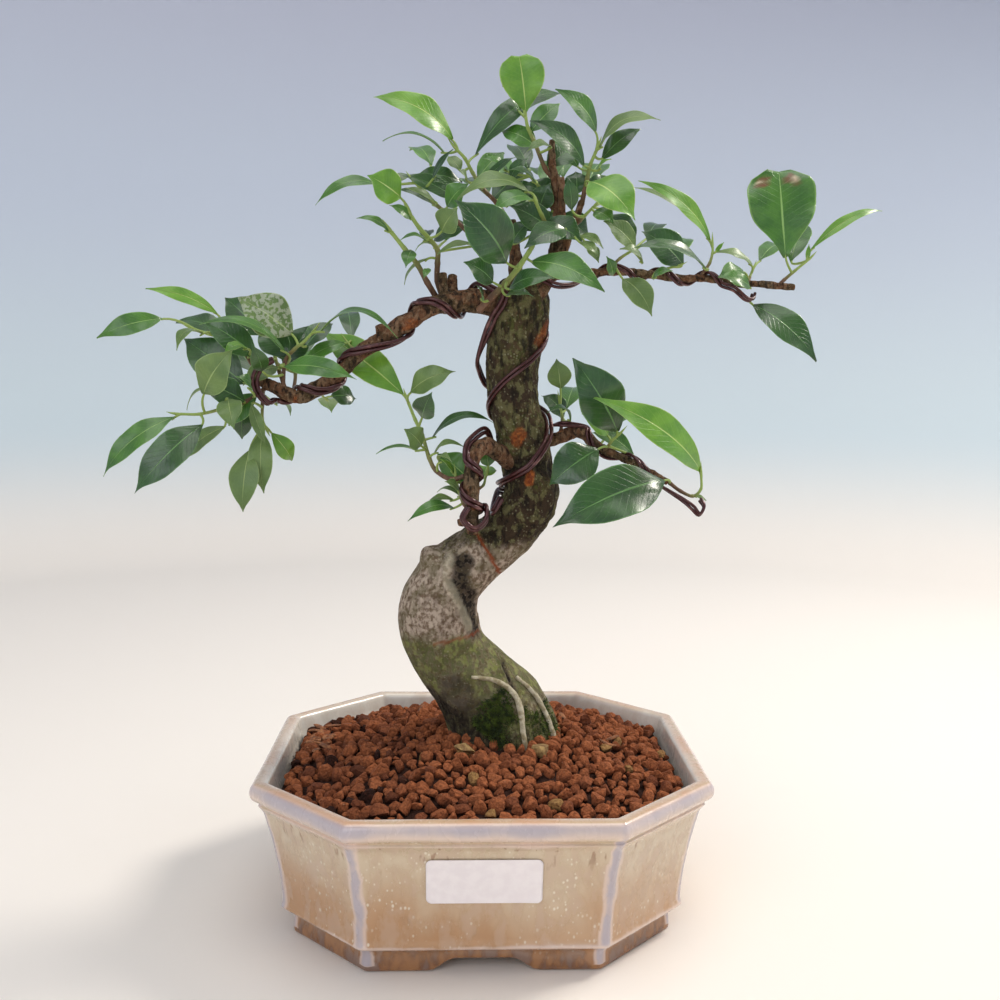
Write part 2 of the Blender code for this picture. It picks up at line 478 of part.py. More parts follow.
def add_object(name, bm, finish, helper=False):
    """Turns a bmesh in millimetres into an object in metres. A helper is a cutter that no render shows."""
    bmesh.ops.recalc_face_normals(bm, faces=bm.faces)
    bmesh.ops.triangulate(bm, faces=bm.faces)
    bmesh.ops.scale(bm, vec=(MM, MM, MM), verts=bm.verts)
    mesh = bpy.data.meshes.new(name)
    bm.to_mesh(mesh)
    bm.free()
    made = bpy.data.objects.new(name, mesh)
    mesh.materials.append(material(finish))
    bpy.context.scene.collection.objects.link(made)
    if helper:
        made.hide_render = True
        made.display_type = "WIRE"
    return made


def boolean(target, other, operation):
    """Adds an exact Boolean of one object with another."""
    modifier = target.modifiers.new(operation.title(), "BOOLEAN")
    modifier.operation = operation
    modifier.solver = "EXACT"
    modifier.object = other


def smooth_path(points, steps):
    """Points of any width along a Catmull-Rom curve through the given ones."""
    pts = [points[0], *points, points[-1]]
    made = []
    for a, b, c, d in zip(pts, pts[1:], pts[2:], pts[3:]):
        for k in range(steps):
            t = k / steps
            made.append(tuple(
                0.5 * (2 * q + (r - p) * t + (2 * p - 5 * q + 4 * r - s) * t * t + (3 * q - p - 3 * r + s) * t ** 3)
                for p, q, r, s in zip(a, b, c, d)
            ))
    made.append(tuple(points[-1]))
    return made


def frames(path):
    """For each point of a path: its tangent, the front direction square to it, and the third direction."""
    made = []
    for k, point in enumerate(path):
        tangent = (path[min(k + 1, len(path) - 1)] - path[max(k - 1, 0)]).normalized()
        front = Vector((0, -1, 0)) - tangent * -tangent.y
        if front.length < 0.3:
            front = Vector((0, 0, 1)) - tangent * tangent.z
        front.normalize()
        made.append((tangent, front, tangent.cross(front)))
    return made


def add_loft(bm, rings):
    """Joins rings of the same number of points into one closed skin with flat ends."""
    rows = [[bm.verts.new(p) for p in ring] for ring in rings]
    for low, high in zip(rows, rows[1:]):
        for k in range(len(low)):
            bm.faces.new((low[k - 1], low[k], high[k], high[k - 1]))
    bm.faces.new(rows[0])
    bm.faces.new(reversed(rows[-1]))
    return rows


def stem_rings(points, sides, extra=0.0, steps=1):
    """Round rings along a stem of (x, y, z, radius) points, each radius grown by extra."""
    fine = smooth_path(points, steps)
    path = [Vector(p[:3]) for p in fine]
    made = []
    for point, (_, front, across), (*_, radius) in zip(path, frames(path), fine):
        ring = []
        for k in range(sides):
            turn = 2 * math.pi * k / sides
            ring.append(point + (front * math.cos(turn) + across * math.sin(turn)) * (radius + extra))
        made.append(ring)
    return made


def stem(name, points, sides, finish, extra=0.0, steps=1, helper=False):
    """A stem as one solid."""
    bm = bmesh.new()
    add_loft(bm, stem_rings(points, sides, extra, steps))
    return add_object(name, bm, finish, helper)


def lengthened(points, extra):
    """The same stem with its two ends carried on by the given length, for use as a cutter."""
    first, second = Vector(points[0][:3]), Vector(points[1][:3])
    last, before = Vector(points[-1][:3]), Vector(points[-2][:3])
    start = first + (first - second).normalized() * extra
    end = last + (last - before).normalized() * extra
    return [(*start, points[0][3]), *points[1:-1], (*end, points[-1][3])]


def on_stem(points, share, angle, lift, size):
    """The centre of something of the given size that lies on a stem's skin, with a further lift."""
    path = [Vector(p[:3]) for p in points]
    place = share * (len(path) - 1)
    low = min(int(place), len(path) - 2)
    turn = math.radians(angle)
    ends = []
    for k in (low, low + 1):
        _, front, across = frames(path)[k]
        reach = points[k][3] + size / 2 + GAP + lift
        ends.append(path[k] + (front * math.cos(turn) + across * math.sin(turn)) * reach)
    return ends[0].lerp(ends[1], place - low)


def octagon(inset, height):
    """The eight corners of the pot's outline, moved in by inset, at a height."""
    x = POT_WIDTH / 2 - inset
    y = POT_DEPTH / 2 - inset
    cut = POT_CORNER_CUT - inset * (2 - math.sqrt(2))
    corners = [(x - cut, -y), (x, -y + cut), (x, y - cut), (x - cut, y)]
    corners += [(-cx, cy) for cx, cy in reversed(corners)]
    return [(cx, cy, height) for cx, cy in corners]


def box_bmesh(size, centre):
    """A box as a bmesh."""
    bm = bmesh.new()
    place = Matrix.Translation(centre) @ Matrix.Diagonal((*size, 1))
    bmesh.ops.create_cube(bm, size=1, matrix=place)
    return bm


def wall_inset(height):
    """How far the outer wall stands in from the rim at a height: flared under the lip, steep at the foot."""
    top = POT_HEIGHT - LIP_HEIGHT - 4
    share = (top - height) / (top - FOOT_HEIGHT)
    return 4.6 + (WALL_INSET - 4.6) * (1 - (1 - share) ** 1.7)


def make_pot():
    """The pot with its rolled rim, recessed foot band, hollow underside, arches and drain holes."""
    lip_bottom = POT_HEIGHT - LIP_HEIGHT
    outer = [
        (FOOT_INSET, 0), (FOOT_INSET + 0.3, FOOT_HEIGHT * 0.6), (FOOT_INSET - 0.8, FOOT_HEIGHT * 0.86),
        (WALL_INSET, FOOT_HEIGHT), (WALL_INSET - 0.7, FOOT_HEIGHT + 1.6), (wall_inset(FOOT_HEIGHT + 4), FOOT_HEIGHT + 4),
    ]
    wall_top = lip_bottom - 4
    steps = 4
    for k in range(1, steps + 1):
        height = FOOT_HEIGHT + 4 + (wall_top - FOOT_HEIGHT - 4) * k / steps
        outer.append((wall_inset(height), height))
    outer += [(3.4, lip_bottom - 2.6), (4, lip_bottom - 1), (1, lip_bottom), (0, lip_bottom + 1.8)]
    outer += [(0, POT_HEIGHT - 2), (0.6, POT_HEIGHT - 0.6), (1.8, POT_HEIGHT)]
    floor = FOOT_RECESS + FLOOR_THICKNESS
    inner = [(RIM_TOP_WIDTH, POT_HEIGHT), (RIM_TOP_WIDTH + 0.8, POT_HEIGHT - 1), (RIM_TOP_WIDTH + 1.4, lip_bottom)]
    inner += [(wall_inset(lip_bottom - 14) + WALL, lip_bottom - 14), (WALL_INSET + WALL, floor + 4)]
    inner += [(WALL_INSET + WALL + 3, floor)]
    bm = bmesh.new()
    under = [(FOOT_INSET + FOOT_RING, FOOT_RECESS), (FOOT_INSET + FOOT_RING - 1, 0)]
    add_loft(bm, [octagon(*at) for at in under + outer + inner])
    pot = add_object("pot", bm, "glaze")
    for side in (-1, 1):
        cutter = bmesh.new()
        half = ARCH_WIDTH / 2
        profile = [(-half, -1), (half, -1), (half - ARCH_SLOPE, ARCH_HEIGHT), (-half + ARCH_SLOPE, ARCH_HEIGHT)]
        depth = side * (POT_DEPTH / 2 - FOOT_INSET - FOOT_RING / 2)
        ends = [depth - FOOT_RING, depth + FOOT_RING]
        add_loft(cutter, [[(x, y, z) for x, z in profile] for y in ends])
        boolean(pot, add_object(f"arch_{side}", cutter, "glaze", helper=True), "DIFFERENCE")
        drill = bmesh.new()
        place = Matrix.Translation((side * DRAIN_SPACING / 2, 0, floor / 2))
        bmesh.ops.create_cone(
            drill, cap_ends=True, segments=16, radius1=DRAIN_HOLE / 2, radius2=DRAIN_HOLE / 2,
            depth=floor + 8, matrix=place,
        )
        boolean(pot, add_object(f"drill_{side}", drill, "glaze", helper=True), "DIFFERENCE")
    return floor


def make_drain_meshes(floor):
    """A square plastic mesh over each drain hole, on the pot's floor."""
    cell = (MESH_SIZE - MESH_BAR) / MESH_CELLS
    for name, side in (("drain_mesh_left", -1), ("drain_mesh_right", 1)):
        middle = Vector((side * DRAIN_SPACING / 2, 0, floor + GAP + MESH_THICKNESS / 2))
        mesh = add_object(name, box_bmesh((MESH_SIZE, MESH_SIZE, MESH_THICKNESS), middle), "mesh")
        holes = bmesh.new()
        for i in range(MESH_CELLS):
            for j in range(MESH_CELLS):
                shift = Vector(((i - (MESH_CELLS - 1) / 2) * cell, (j - (MESH_CELLS - 1) / 2) * cell, 0))
                size = cell - MESH_BAR
                place = Matrix.Translation(middle + shift) @ Matrix.Diagonal((size, size, 4, 1))
                bmesh.ops.create_cube(holes, size=1, matrix=place)
        boolean(mesh, add_object(f"{name}_holes", holes, "mesh", helper=True), "DIFFERENCE")


def soil_height(reach):
    """The soil's height at a share of the way from the middle (0) to the wall (1)."""
    return POT_HEIGHT - SOIL_BELOW_RIM + MOUND_HEIGHT * (1 - reach ** 1.6)


def scaled(ring, share, middle):
    """A ring drawn in towards a middle point."""
    return [(middle[0] + (x - middle[0]) * share, middle[1] + (y - middle[1]) * share, z) for x, y, z in ring]


def make_soil(name, floor, raised=0.0, helper=False):
    """The root soil that fills the pot, mounded towards the trunk. A raised copy cuts what rests on it."""
    edge = POT_HEIGHT - SOIL_BELOW_RIM
    lip_bottom = POT_HEIGHT - LIP_HEIGHT
    middle = (TRUNK[2][0], TRUNK[2][1])
    base = floor + 2 * GAP + MESH_THICKNESS
    rings = [
        octagon(WALL_INSET + WALL + 3 + GAP, base), octagon(WALL_INSET + WALL + GAP * 2, floor + 4 + GAP),
        octagon(wall_inset(lip_bottom - 14) + WALL + GAP, lip_bottom - 14),
        octagon(RIM_TOP_WIDTH + 1.4 + GAP + 0.6, edge - 1), octagon(RIM_TOP_WIDTH + 1.4 + GAP + 1.4, edge),
    ]
    for reach in (0.8, 0.6, 0.4, 0.2):
        rings.append([(x, y, soil_height(reach)) for x, y, _ in scaled(rings[4], reach, middle)])
    bm = bmesh.new()
    add_loft(bm, [[(x, y, z + raised) for x, y, z in ring] for ring in rings])
    return add_object(name, bm, "soil", helper)


def make_label():
    """A small blank label with round corners, on the middle of the front wall."""
    low = LABEL_MIDDLE - LABEL_HEIGHT / 2
    bm = bmesh.new()
    rows = 4
    outline = []
    for k in range(rows + 1):
        height = low + LABEL_HEIGHT * k / rows
        end = min(height - low, low + LABEL_HEIGHT - height)
        half = LABEL_WIDTH / 2 - (LABEL_CORNER if end < 0.01 else 0)
        outline.append((half, height))
    sides = []
    for proud in (GAP, GAP + LABEL_THICKNESS):
        left, right = [], []
        for half, height in outline:
            depth = -(POT_DEPTH / 2 - wall_inset(height)) - proud
            left.append(bm.verts.new((-half, depth, height)))
            right.append(bm.verts.new((half, depth, height)))
        sides.append((left, right))
    (back_left, back_right), (front_left, front_right) = sides
    for k in range(rows):
        bm.faces.new((front_left[k], front_right[k], front_right[k + 1], front_left[k + 1]))
        bm.faces.new((back_right[k], back_left[k], back_left[k + 1], back_right[k + 1]))
        bm.faces.new((back_left[k], front_left[k], front_left[k + 1], back_left[k + 1]))
        bm.faces.new((front_right[k], back_right[k], back_right[k + 1], front_right[k + 1]))
    bm.faces.new((back_left[0], back_right[0], front_right[0], front_left[0]))
    bm.faces.new((front_left[-1], front_right[-1], back_right[-1], back_left[-1]))
    return add_object("label", bm, "paper")


def make_tree():
    """The trunk and its branches, with a hair's gap between neighbours, and the sleeves that cut that gap."""
    trunk = stem("trunk", TRUNK, TRUNK_SIDES, "bark")
    sleeves = {"trunk": stem("trunk_sleeve", lengthened(TRUNK, 1), TRUNK_SIDES, "bark", GAP, helper=True)}
    parents_first = sorted(BRANCHES.items(), key=lambda item: item[0] in GROWS_FROM)
    for name, points in parents_first:
        branch = stem(name, points, BRANCH_SIDES, "bark")
        for k, stub in enumerate(STUBS.get(name, [])):
            boolean(branch, stem(f"{name}_stub_{k}", stub, BRANCH_SIDES - 2, "bark", helper=True), "UNION")
        boolean(branch, sleeves[GROWS_FROM.get(name, "trunk")], "DIFFERENCE")
        sleeves[name] = stem(f"{name}_sleeve", lengthened(points, 1), BRANCH_SIDES, "bark", GAP, helper=True)
    return trunk, sleeves


def leaf_rings(leaf, root):
    """Three-sided rings from the leaf stalk's root, through the blade's foot, to its tip."""
    base, tip = Vector(leaf.base), Vector(leaf.tip)
    along = (tip - base).normalized()
    length = (tip - base).length
    up = (Vector((0, 0, 1)) - along * along.z)
    side = along.cross(up).normalized()
    if side.y > 0:
        side = -side
    turn = math.radians(leaf.face)
    normal = up.normalized() * math.cos(turn) + side * math.sin(turn)
    if up.length < 0.2:
        facing = Vector((0, -math.sin(turn), math.cos(turn)))
        normal = (facing - along * facing.dot(along)).normalized()
    across = along.cross(normal)
    rings = []
    stalk = (base - root).normalized()
    stalk_side = stalk.cross(Vector((0.3, 0.5, 0.8))).normalized()
    stalk_up = stalk.cross(stalk_side)
    rings.append(three_corners(root, stalk_side, stalk_up, PETIOLE / 2))
    middle_way = (stalk + along).normalized()
    foot_across = (across - middle_way * across.dot(middle_way)).normalized()
    foot_up = foot_across.cross(middle_way)
    rings.append(three_corners(base, foot_across, foot_up, PETIOLE / 2))
    for share, width in ((0.3, leaf.width * 0.88), (0.66, leaf.width * 0.94), (1, PETIOLE * 0.7)):
        middle = base + along * length * share + normal * leaf.arch * length * 4 * share * (1 - share)
        half = width / 2
        lift = normal * half * LEAF_FOLD
        keel = lift - normal * (LEAF_THICKNESS + half * LEAF_FOLD)
        rings.append([middle + across * half + lift, middle - across * half + lift, middle + keel])
    for k in (1, 0):
        rings[k] = matched(rings[k], rings[k + 1])
    return rings


def three_corners(middle, across, up, radius):
    """A three-cornered ring round a stalk, with one corner at the bottom."""
    turns = (math.radians(30), math.radians(150), math.radians(270))
    return [middle + (across * math.cos(turn) + up * math.sin(turn)) * radius for turn in turns]


def matched(ring, other):
    """The same corners in the order that follows another ring most closely."""
    count = len(ring)
    orders = []
    for first in range(count):
        for step in (1, -1):
            orders.append([ring[(first + step * k) % count] for k in range(count)])
    return min(orders, key=lambda order: sum((p - q).length for p, q in zip(order, other)))


def trimmed(path, start, end):
    """A path without the given lengths at its two ends."""
    for length in (end, start):
        path = path[::-1]
        while len(path) > 2 and (path[1] - path[0]).length <= length:
            length -= (path[1] - path[0]).length
            path = path[1:]
        run = path[1] - path[0]
        path = [path[0] + run * min(1.0, length / run.length) * 0.98, *path[1:]]
    return path


def nearest(path, point):
    """The path's point that lies nearest to a given one, on any of its runs."""
    best = path[0]
    for a, b in zip(path, path[1:]):
        run = b - a
        share = max(0.0, min(1.0, (point - a).dot(run) / run.length_squared))
        found = a + run * share
        if (found - point).length < (best - point).length:
            best = found
    return best


def make_shoot(shoot, sleeve):
    """A twig with its leaves as one solid, cut clear of the branch that it grows from."""
    points = []
    for k, at in enumerate(shoot.twig):
        share = k / (len(shoot.twig) - 1)
        points.append((*at, shoot.thick / 2 * (1.15 - 0.4 * share)))
    twig = stem(shoot.name, points, TWIG_SIDES, "leaf")
    root = Vector(shoot.twig[0])
    host = min(BRANCHES.get(shoot.branch, TRUNK), key=lambda p: (Vector(p[:3]) - root).length)
    path = trimmed([Vector(p[:3]) for p in points], host[3] + GAP + PETIOLE, PETIOLE)
    leaves = bpy.data.collections.new(f"{shoot.name}_leaves")
    bpy.context.scene.collection.children.link(leaves)
    for k, leaf in enumerate(shoot.leaves):
        bm = bmesh.new()
        add_loft(bm, leaf_rings(leaf, nearest(path, Vector(leaf.base))))
        made = add_object(f"{shoot.name}_leaf_{k}", bm, "leaf", helper=True)
        bpy.context.scene.collection.objects.unlink(made)
        leaves.objects.link(made)
    union = twig.modifiers.new("Leaves", "BOOLEAN")
    union.operation = "UNION"
    union.solver = "EXACT"
    union.operand_type = "COLLECTION"
    union.collection = leaves
    boolean(twig, sleeve, "DIFFERENCE")


def wire_path(stops, size):
    """A fine path through a wire's stops, turning round stems by small steps."""
    stems = {"trunk": TRUNK, **BRANCHES}
    coarse = []
    last = None
    for stop in stops:
        if not isinstance(stop[0], str):
            coarse.append(Vector(stop))
            last = None
            continue
        if last and last[0] == stop[0]:
            reach = max(p[3] for p in stems[stop[0]]) * 0.8
            step = 2 * math.degrees(math.acos(1 - WIRE_SAG / reach))
            pieces = max(1, math.ceil(abs(stop[2] - last[2]) / step))
            for k in range(1, pieces):
                t = k / pieces
                share, angle, lift = (a + (b - a) * t for a, b in zip(last[1:], stop[1:]))
                coarse.append(on_stem(stems[stop[0]], share, angle, lift, size))
        coarse.append(on_stem(stems[stop[0]], *stop[1:], size))
        last = stop
    return coarse


def make_wires():
    """Each training wire is a pair of strands laid side by side."""
    stems = [TRUNK, *BRANCHES.values()]
    axes = [Vector(p[:3]) for points in stems for p in smooth_path(points, 4)]
    for name, (size, stops) in WIRES.items():
        middle = wire_path(stops, size)
        strands = {"a": [], "b": []}
        across = Vector((0, 0, 1))
        for k, point in enumerate(middle):
            tangent = (middle[min(k + 1, len(middle) - 1)] - middle[max(k - 1, 0)]).normalized()
            outward = (point - min(axes, key=lambda p: (p - point).length)).normalized()
            wanted = tangent.cross(outward)
            if k and wanted.dot(across) < 0:
                wanted = across - tangent * across.dot(tangent)
            across = wanted.normalized()
            shift = across * (size + WIRE_GAP) / 2
            strands["a"].append((*(point - shift), size / 2))
            strands["b"].append((*(point + shift), size / 2))
        for letter, strand in strands.items():
            stem(f"{name}_{letter}", strand, WIRE_SIDES, "wire")


def make_moss(soil_top):
    """Moss pads that hug the foot of the trunk, cut clear of the soil."""
    steps = 4
    for name, (left, right, low, high) in MOSS_PADS.items():
        skins = []
        bm = bmesh.new()
        for outer in (0, 1):
            rows = []
            for i in range(steps + 1):
                row = []
                for j in range(steps + 1):
                    u, v = i / steps, j / steps
                    dome = (16 * u * (1 - u) * v * (1 - v)) ** 0.5
                    thickness = outer * (0.6 + (MOSS_THICKNESS - 0.6) * dome)
                    at = on_stem(TRUNK, low + (high - low) * v, left + (right - left) * u, thickness + GAP, 0)
                    row.append(bm.verts.new(at))
                rows.append(row)
            skins.append(rows)
        for rows in skins:
            for i in range(steps):
                for j in range(steps):
                    bm.faces.new((rows[i][j], rows[i + 1][j], rows[i + 1][j + 1], rows[i][j + 1]))
        inner, outer = skins
        edge = [(i, 0) for i in range(steps)] + [(steps, j) for j in range(steps)]
        edge += [(i, steps) for i in range(steps, 0, -1)] + [(0, j) for j in range(steps, 0, -1)]
        for (i, j), (m, n) in zip(edge, edge[1:] + edge[:1]):
            bm.faces.new((inner[i][j], inner[m][n], outer[m][n], outer[i][j]))
        boolean(add_object(name, bm, "moss"), soil_top, "DIFFERENCE")


def make_stones():
    """Two pale stones, each sunk a little into the soil, and the cutters of their hollows."""
    cutters = []
    for name, (x, y, stretch) in STONES.items():
        reach = math.hypot(x - TRUNK[2][0], y - TRUNK[2][1]) / (POT_WIDTH / 2)
        centre = Vector((x, y, soil_height(reach) + STONE_SIZE * 0.12))
        for extra, helper in ((0, False), (2 * GAP, True)):
            bm = bmesh.new()
            size = Vector((STONE_SIZE * stretch + extra, STONE_SIZE * 0.8 + extra, STONE_SIZE * 0.75 + extra))
            place = Matrix.Translation(centre) @ Matrix.Diagonal((*size, 1))
            bmesh.ops.create_icosphere(bm, subdivisions=1, radius=0.5, matrix=place)
            made = add_object(name + ("_hollow" if helper else ""), bm, "stone", helper)
        cutters.append(made)
    return cutters


def make_aerial_roots():
    """Pale roots that run down the trunk's front into the soil, and the cutters of their hollows."""
    cutters = []
    for name, stops in AERIAL_ROOTS.items():
        points = []
        for k, (share, angle) in enumerate(stops):
            radius = AERIAL_ROOT_SIZE / 2 * (0.75 + 0.25 * min(k, 2) / 2)
            points.append((*on_stem(TRUNK, share, angle, 0, 2 * radius), radius))
        stem(name, points, BRANCH_SIDES, "root")
        cutters.append(stem(f"{name}_hollow", lengthened(points, 1), BRANCH_SIDES, "root", GAP, helper=True))
    return cutters


def main():
    """Builds every piece, then stands the model on its origin."""
    for old in list(bpy.data.objects):
        bpy.data.objects.remove(old, do_unlink=True)
    floor = make_pot()
    make_drain_meshes(floor)
    soil = make_soil("soil", floor)
    make_label()
    _, sleeves = make_tree()
    for cutter in [sleeves["trunk"], *make_aerial_roots(), *make_stones()]:
        boolean(soil, cutter, "DIFFERENCE")
    make_moss(make_soil("soil_top", floor, GAP, helper=True))
    make_wires()
    for shoot in SHOOTS:
        make_shoot(shoot, sleeves[shoot.branch])
    stand_on_origin()


def stand_on_origin():
    """Moves everything so that the bounding box's bottom centre is at the origin."""
    bpy.context.view_layer.update()
    graph = bpy.context.evaluated_depsgraph_get()
    low, high = Vector((1e9,) * 3), Vector((-1e9,) * 3)
    for made in bpy.data.objects:
        if made.hide_render:
            continue
        mesh = made.evaluated_get(graph).to_mesh()
        for vert in mesh.vertices:
            low = Vector(map(min, low, vert.co))
            high = Vector(map(max, high, vert.co))
    shift = Vector((-(low.x + high.x) / 2, -(low.y + high.y) / 2, -low.z))
    for made in bpy.data.objects:
        made.location = made.location + shift


main()
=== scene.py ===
"""Looks for a small fig bonsai in an eight-sided glazed pot.

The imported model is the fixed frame. Sizes here are in millimetres from the middle of the pot's foot, with +X to
the right, +Y to the back and +Z up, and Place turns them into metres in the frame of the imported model.
"""

import logging
import math
from dataclasses import dataclass, field
from enum import Enum

import bmesh
import bpy
import numpy as np
from mathutils import Matrix, Vector


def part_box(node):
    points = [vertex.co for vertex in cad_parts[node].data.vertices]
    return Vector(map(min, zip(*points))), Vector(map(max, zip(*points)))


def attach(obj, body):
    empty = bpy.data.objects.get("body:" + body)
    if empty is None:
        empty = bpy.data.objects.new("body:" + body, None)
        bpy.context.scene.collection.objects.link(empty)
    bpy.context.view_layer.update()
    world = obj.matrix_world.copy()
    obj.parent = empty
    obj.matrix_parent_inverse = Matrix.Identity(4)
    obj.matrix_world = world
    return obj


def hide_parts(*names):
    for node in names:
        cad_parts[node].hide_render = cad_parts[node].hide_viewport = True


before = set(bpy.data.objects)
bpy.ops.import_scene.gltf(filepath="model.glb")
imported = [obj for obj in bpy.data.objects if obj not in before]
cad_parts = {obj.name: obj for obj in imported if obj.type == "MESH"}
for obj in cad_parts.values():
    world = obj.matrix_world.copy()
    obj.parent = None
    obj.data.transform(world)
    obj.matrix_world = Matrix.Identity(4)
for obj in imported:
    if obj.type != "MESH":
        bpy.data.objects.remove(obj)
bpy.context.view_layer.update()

LOG = logging.getLogger("bonsai")
MM = 0.001
BODY = "root"
GAP = 0.35
WIRE_GAP = 0.15
Colour = tuple[float, float, float]
Array = np.ndarray
Generator = np.random.Generator
Material, NodeTree, Object, Socket = bpy.types.Material, bpy.types.NodeTree, bpy.types.Object, bpy.types.NodeSocket


# ---------------------------------------------------------------- the design's own numbers

TRUNK = [
    (13, 10, 36, 20), (11, 9, 54, 23), (10, 8, 65, 22.5), (6, 8, 76, 21), (-4, 7, 89, 18), (-14, 6, 102, 16.5),
    (-19, 5, 118, 16.8), (-15, 4, 132, 14.8), (-5, 3, 142, 13), (7, 2, 151, 11.8), (15, 1, 160, 11.3),
    (20, 0, 170, 11.2), (18, 0, 183, 10.8), (15, 0, 197, 10.2), (12, 0, 211, 10.3), (12, 0, 226, 11),
    (14, 0, 240, 11.6), (15, 0, 250, 11.2), (15, 0, 256, 9),
]
BRANCHES = {
    "left_branch": [
        (10, 0, 247, 5.6), (-4, -3, 249, 4.9), (-14, -5, 248, 4.2), (-22, -6, 246, 3.7), (-31, -5, 240, 3.4),
        (-40, -4, 234, 3.3), (-50, -3, 228, 3), (-58, -3, 220, 2.8), (-66, -4, 214, 2.8), (-75, -5, 210, 2.8),
        (-83, -5, 213, 2.6), (-90, -4, 216, 2.3), (-95, -4, 217, 1.8),
    ],
    "right_branch": [
        (26, 2, 260, 2.4), (36, 0, 260.5, 1.9), (46, -1, 261, 1.7), (54, -2, 261.5, 1.6), (66, -2, 260.5, 1.6),
        (79, -2, 259, 1.6), (91, -2, 259, 1.5), (102, -1, 257.5, 1.5), (115, 0, 257, 1.4), (127, 1, 256, 1.3),
    ],
    "low_right_branch": [
        (17, 1, 190, 3), (33, 4, 194, 2.5), (38, 2, 196.5, 2.3), (42, 0, 195.5, 2.1), (47, -3, 190.5, 1.9),
        (57, -6, 186, 1.6), (67, -8, 181, 1.4), (75, -9, 176.5, 1.3),
    ],
    "low_left_branch": [
        (17, 1, 180, 4.4), (6, -8, 188, 3.7), (1, -14, 191, 3.4), (-3, -18, 189, 3), (-5, -20, 183, 2.8),
        (-5, -21, 176, 2.8), (-5, -21, 169, 2.6), (-4.5, -21, 163, 2.4), (-4.5, -21, 157, 2.2),
    ],
    "apex_branch": [
        (18, 2, 250, 4), (26, 2, 261, 3.3), (28.5, 2, 269, 2.5), (29.5, 2, 278, 2.1), (29, 2, 288, 1.9),
        (28.5, 1, 297, 1.8), (27, 0, 305, 1.5), (27, 0, 313, 1.2),
    ],
    "apex_left_branch": [
        (14, 4, 249, 4.2), (13, 6, 261, 3.1), (12.5, 6, 269, 2.2), (12, 6, 276, 1.9), (11, 5, 282, 1.6),
    ],
    "apex_right_branch": [
        (20, -5, 249, 3.4), (27, -7, 260, 2.2), (31, -7, 268, 1.9), (33.5, -6, 275, 1.7), (36.5, -4, 282, 1.5),
        (39, -2, 289, 1.2),
    ],
}
STUBS = {
    "left_branch": [
        [(-15, -5, 249, 2.8), (-16.5, -4, 254, 2.2), (-17, -3, 259.5, 1.7)],
        [(-13, -4, 249, 2.8), (-13, -1, 254, 2.2), (-13, 1, 259, 1.8)],
        [(-41, -4, 235, 2.6), (-42, -5, 238.5, 2)],
    ],
    "low_left_branch": [[(-4.5, -21, 163, 2.2), (-8, -21, 161.5, 1.9), (-10, -21, 161, 1.4)]],
    "apex_branch": [[(28.5, 2, 268, 2), (31, 0, 280, 1.6), (30.5, -2, 298, 1.4)]],
}
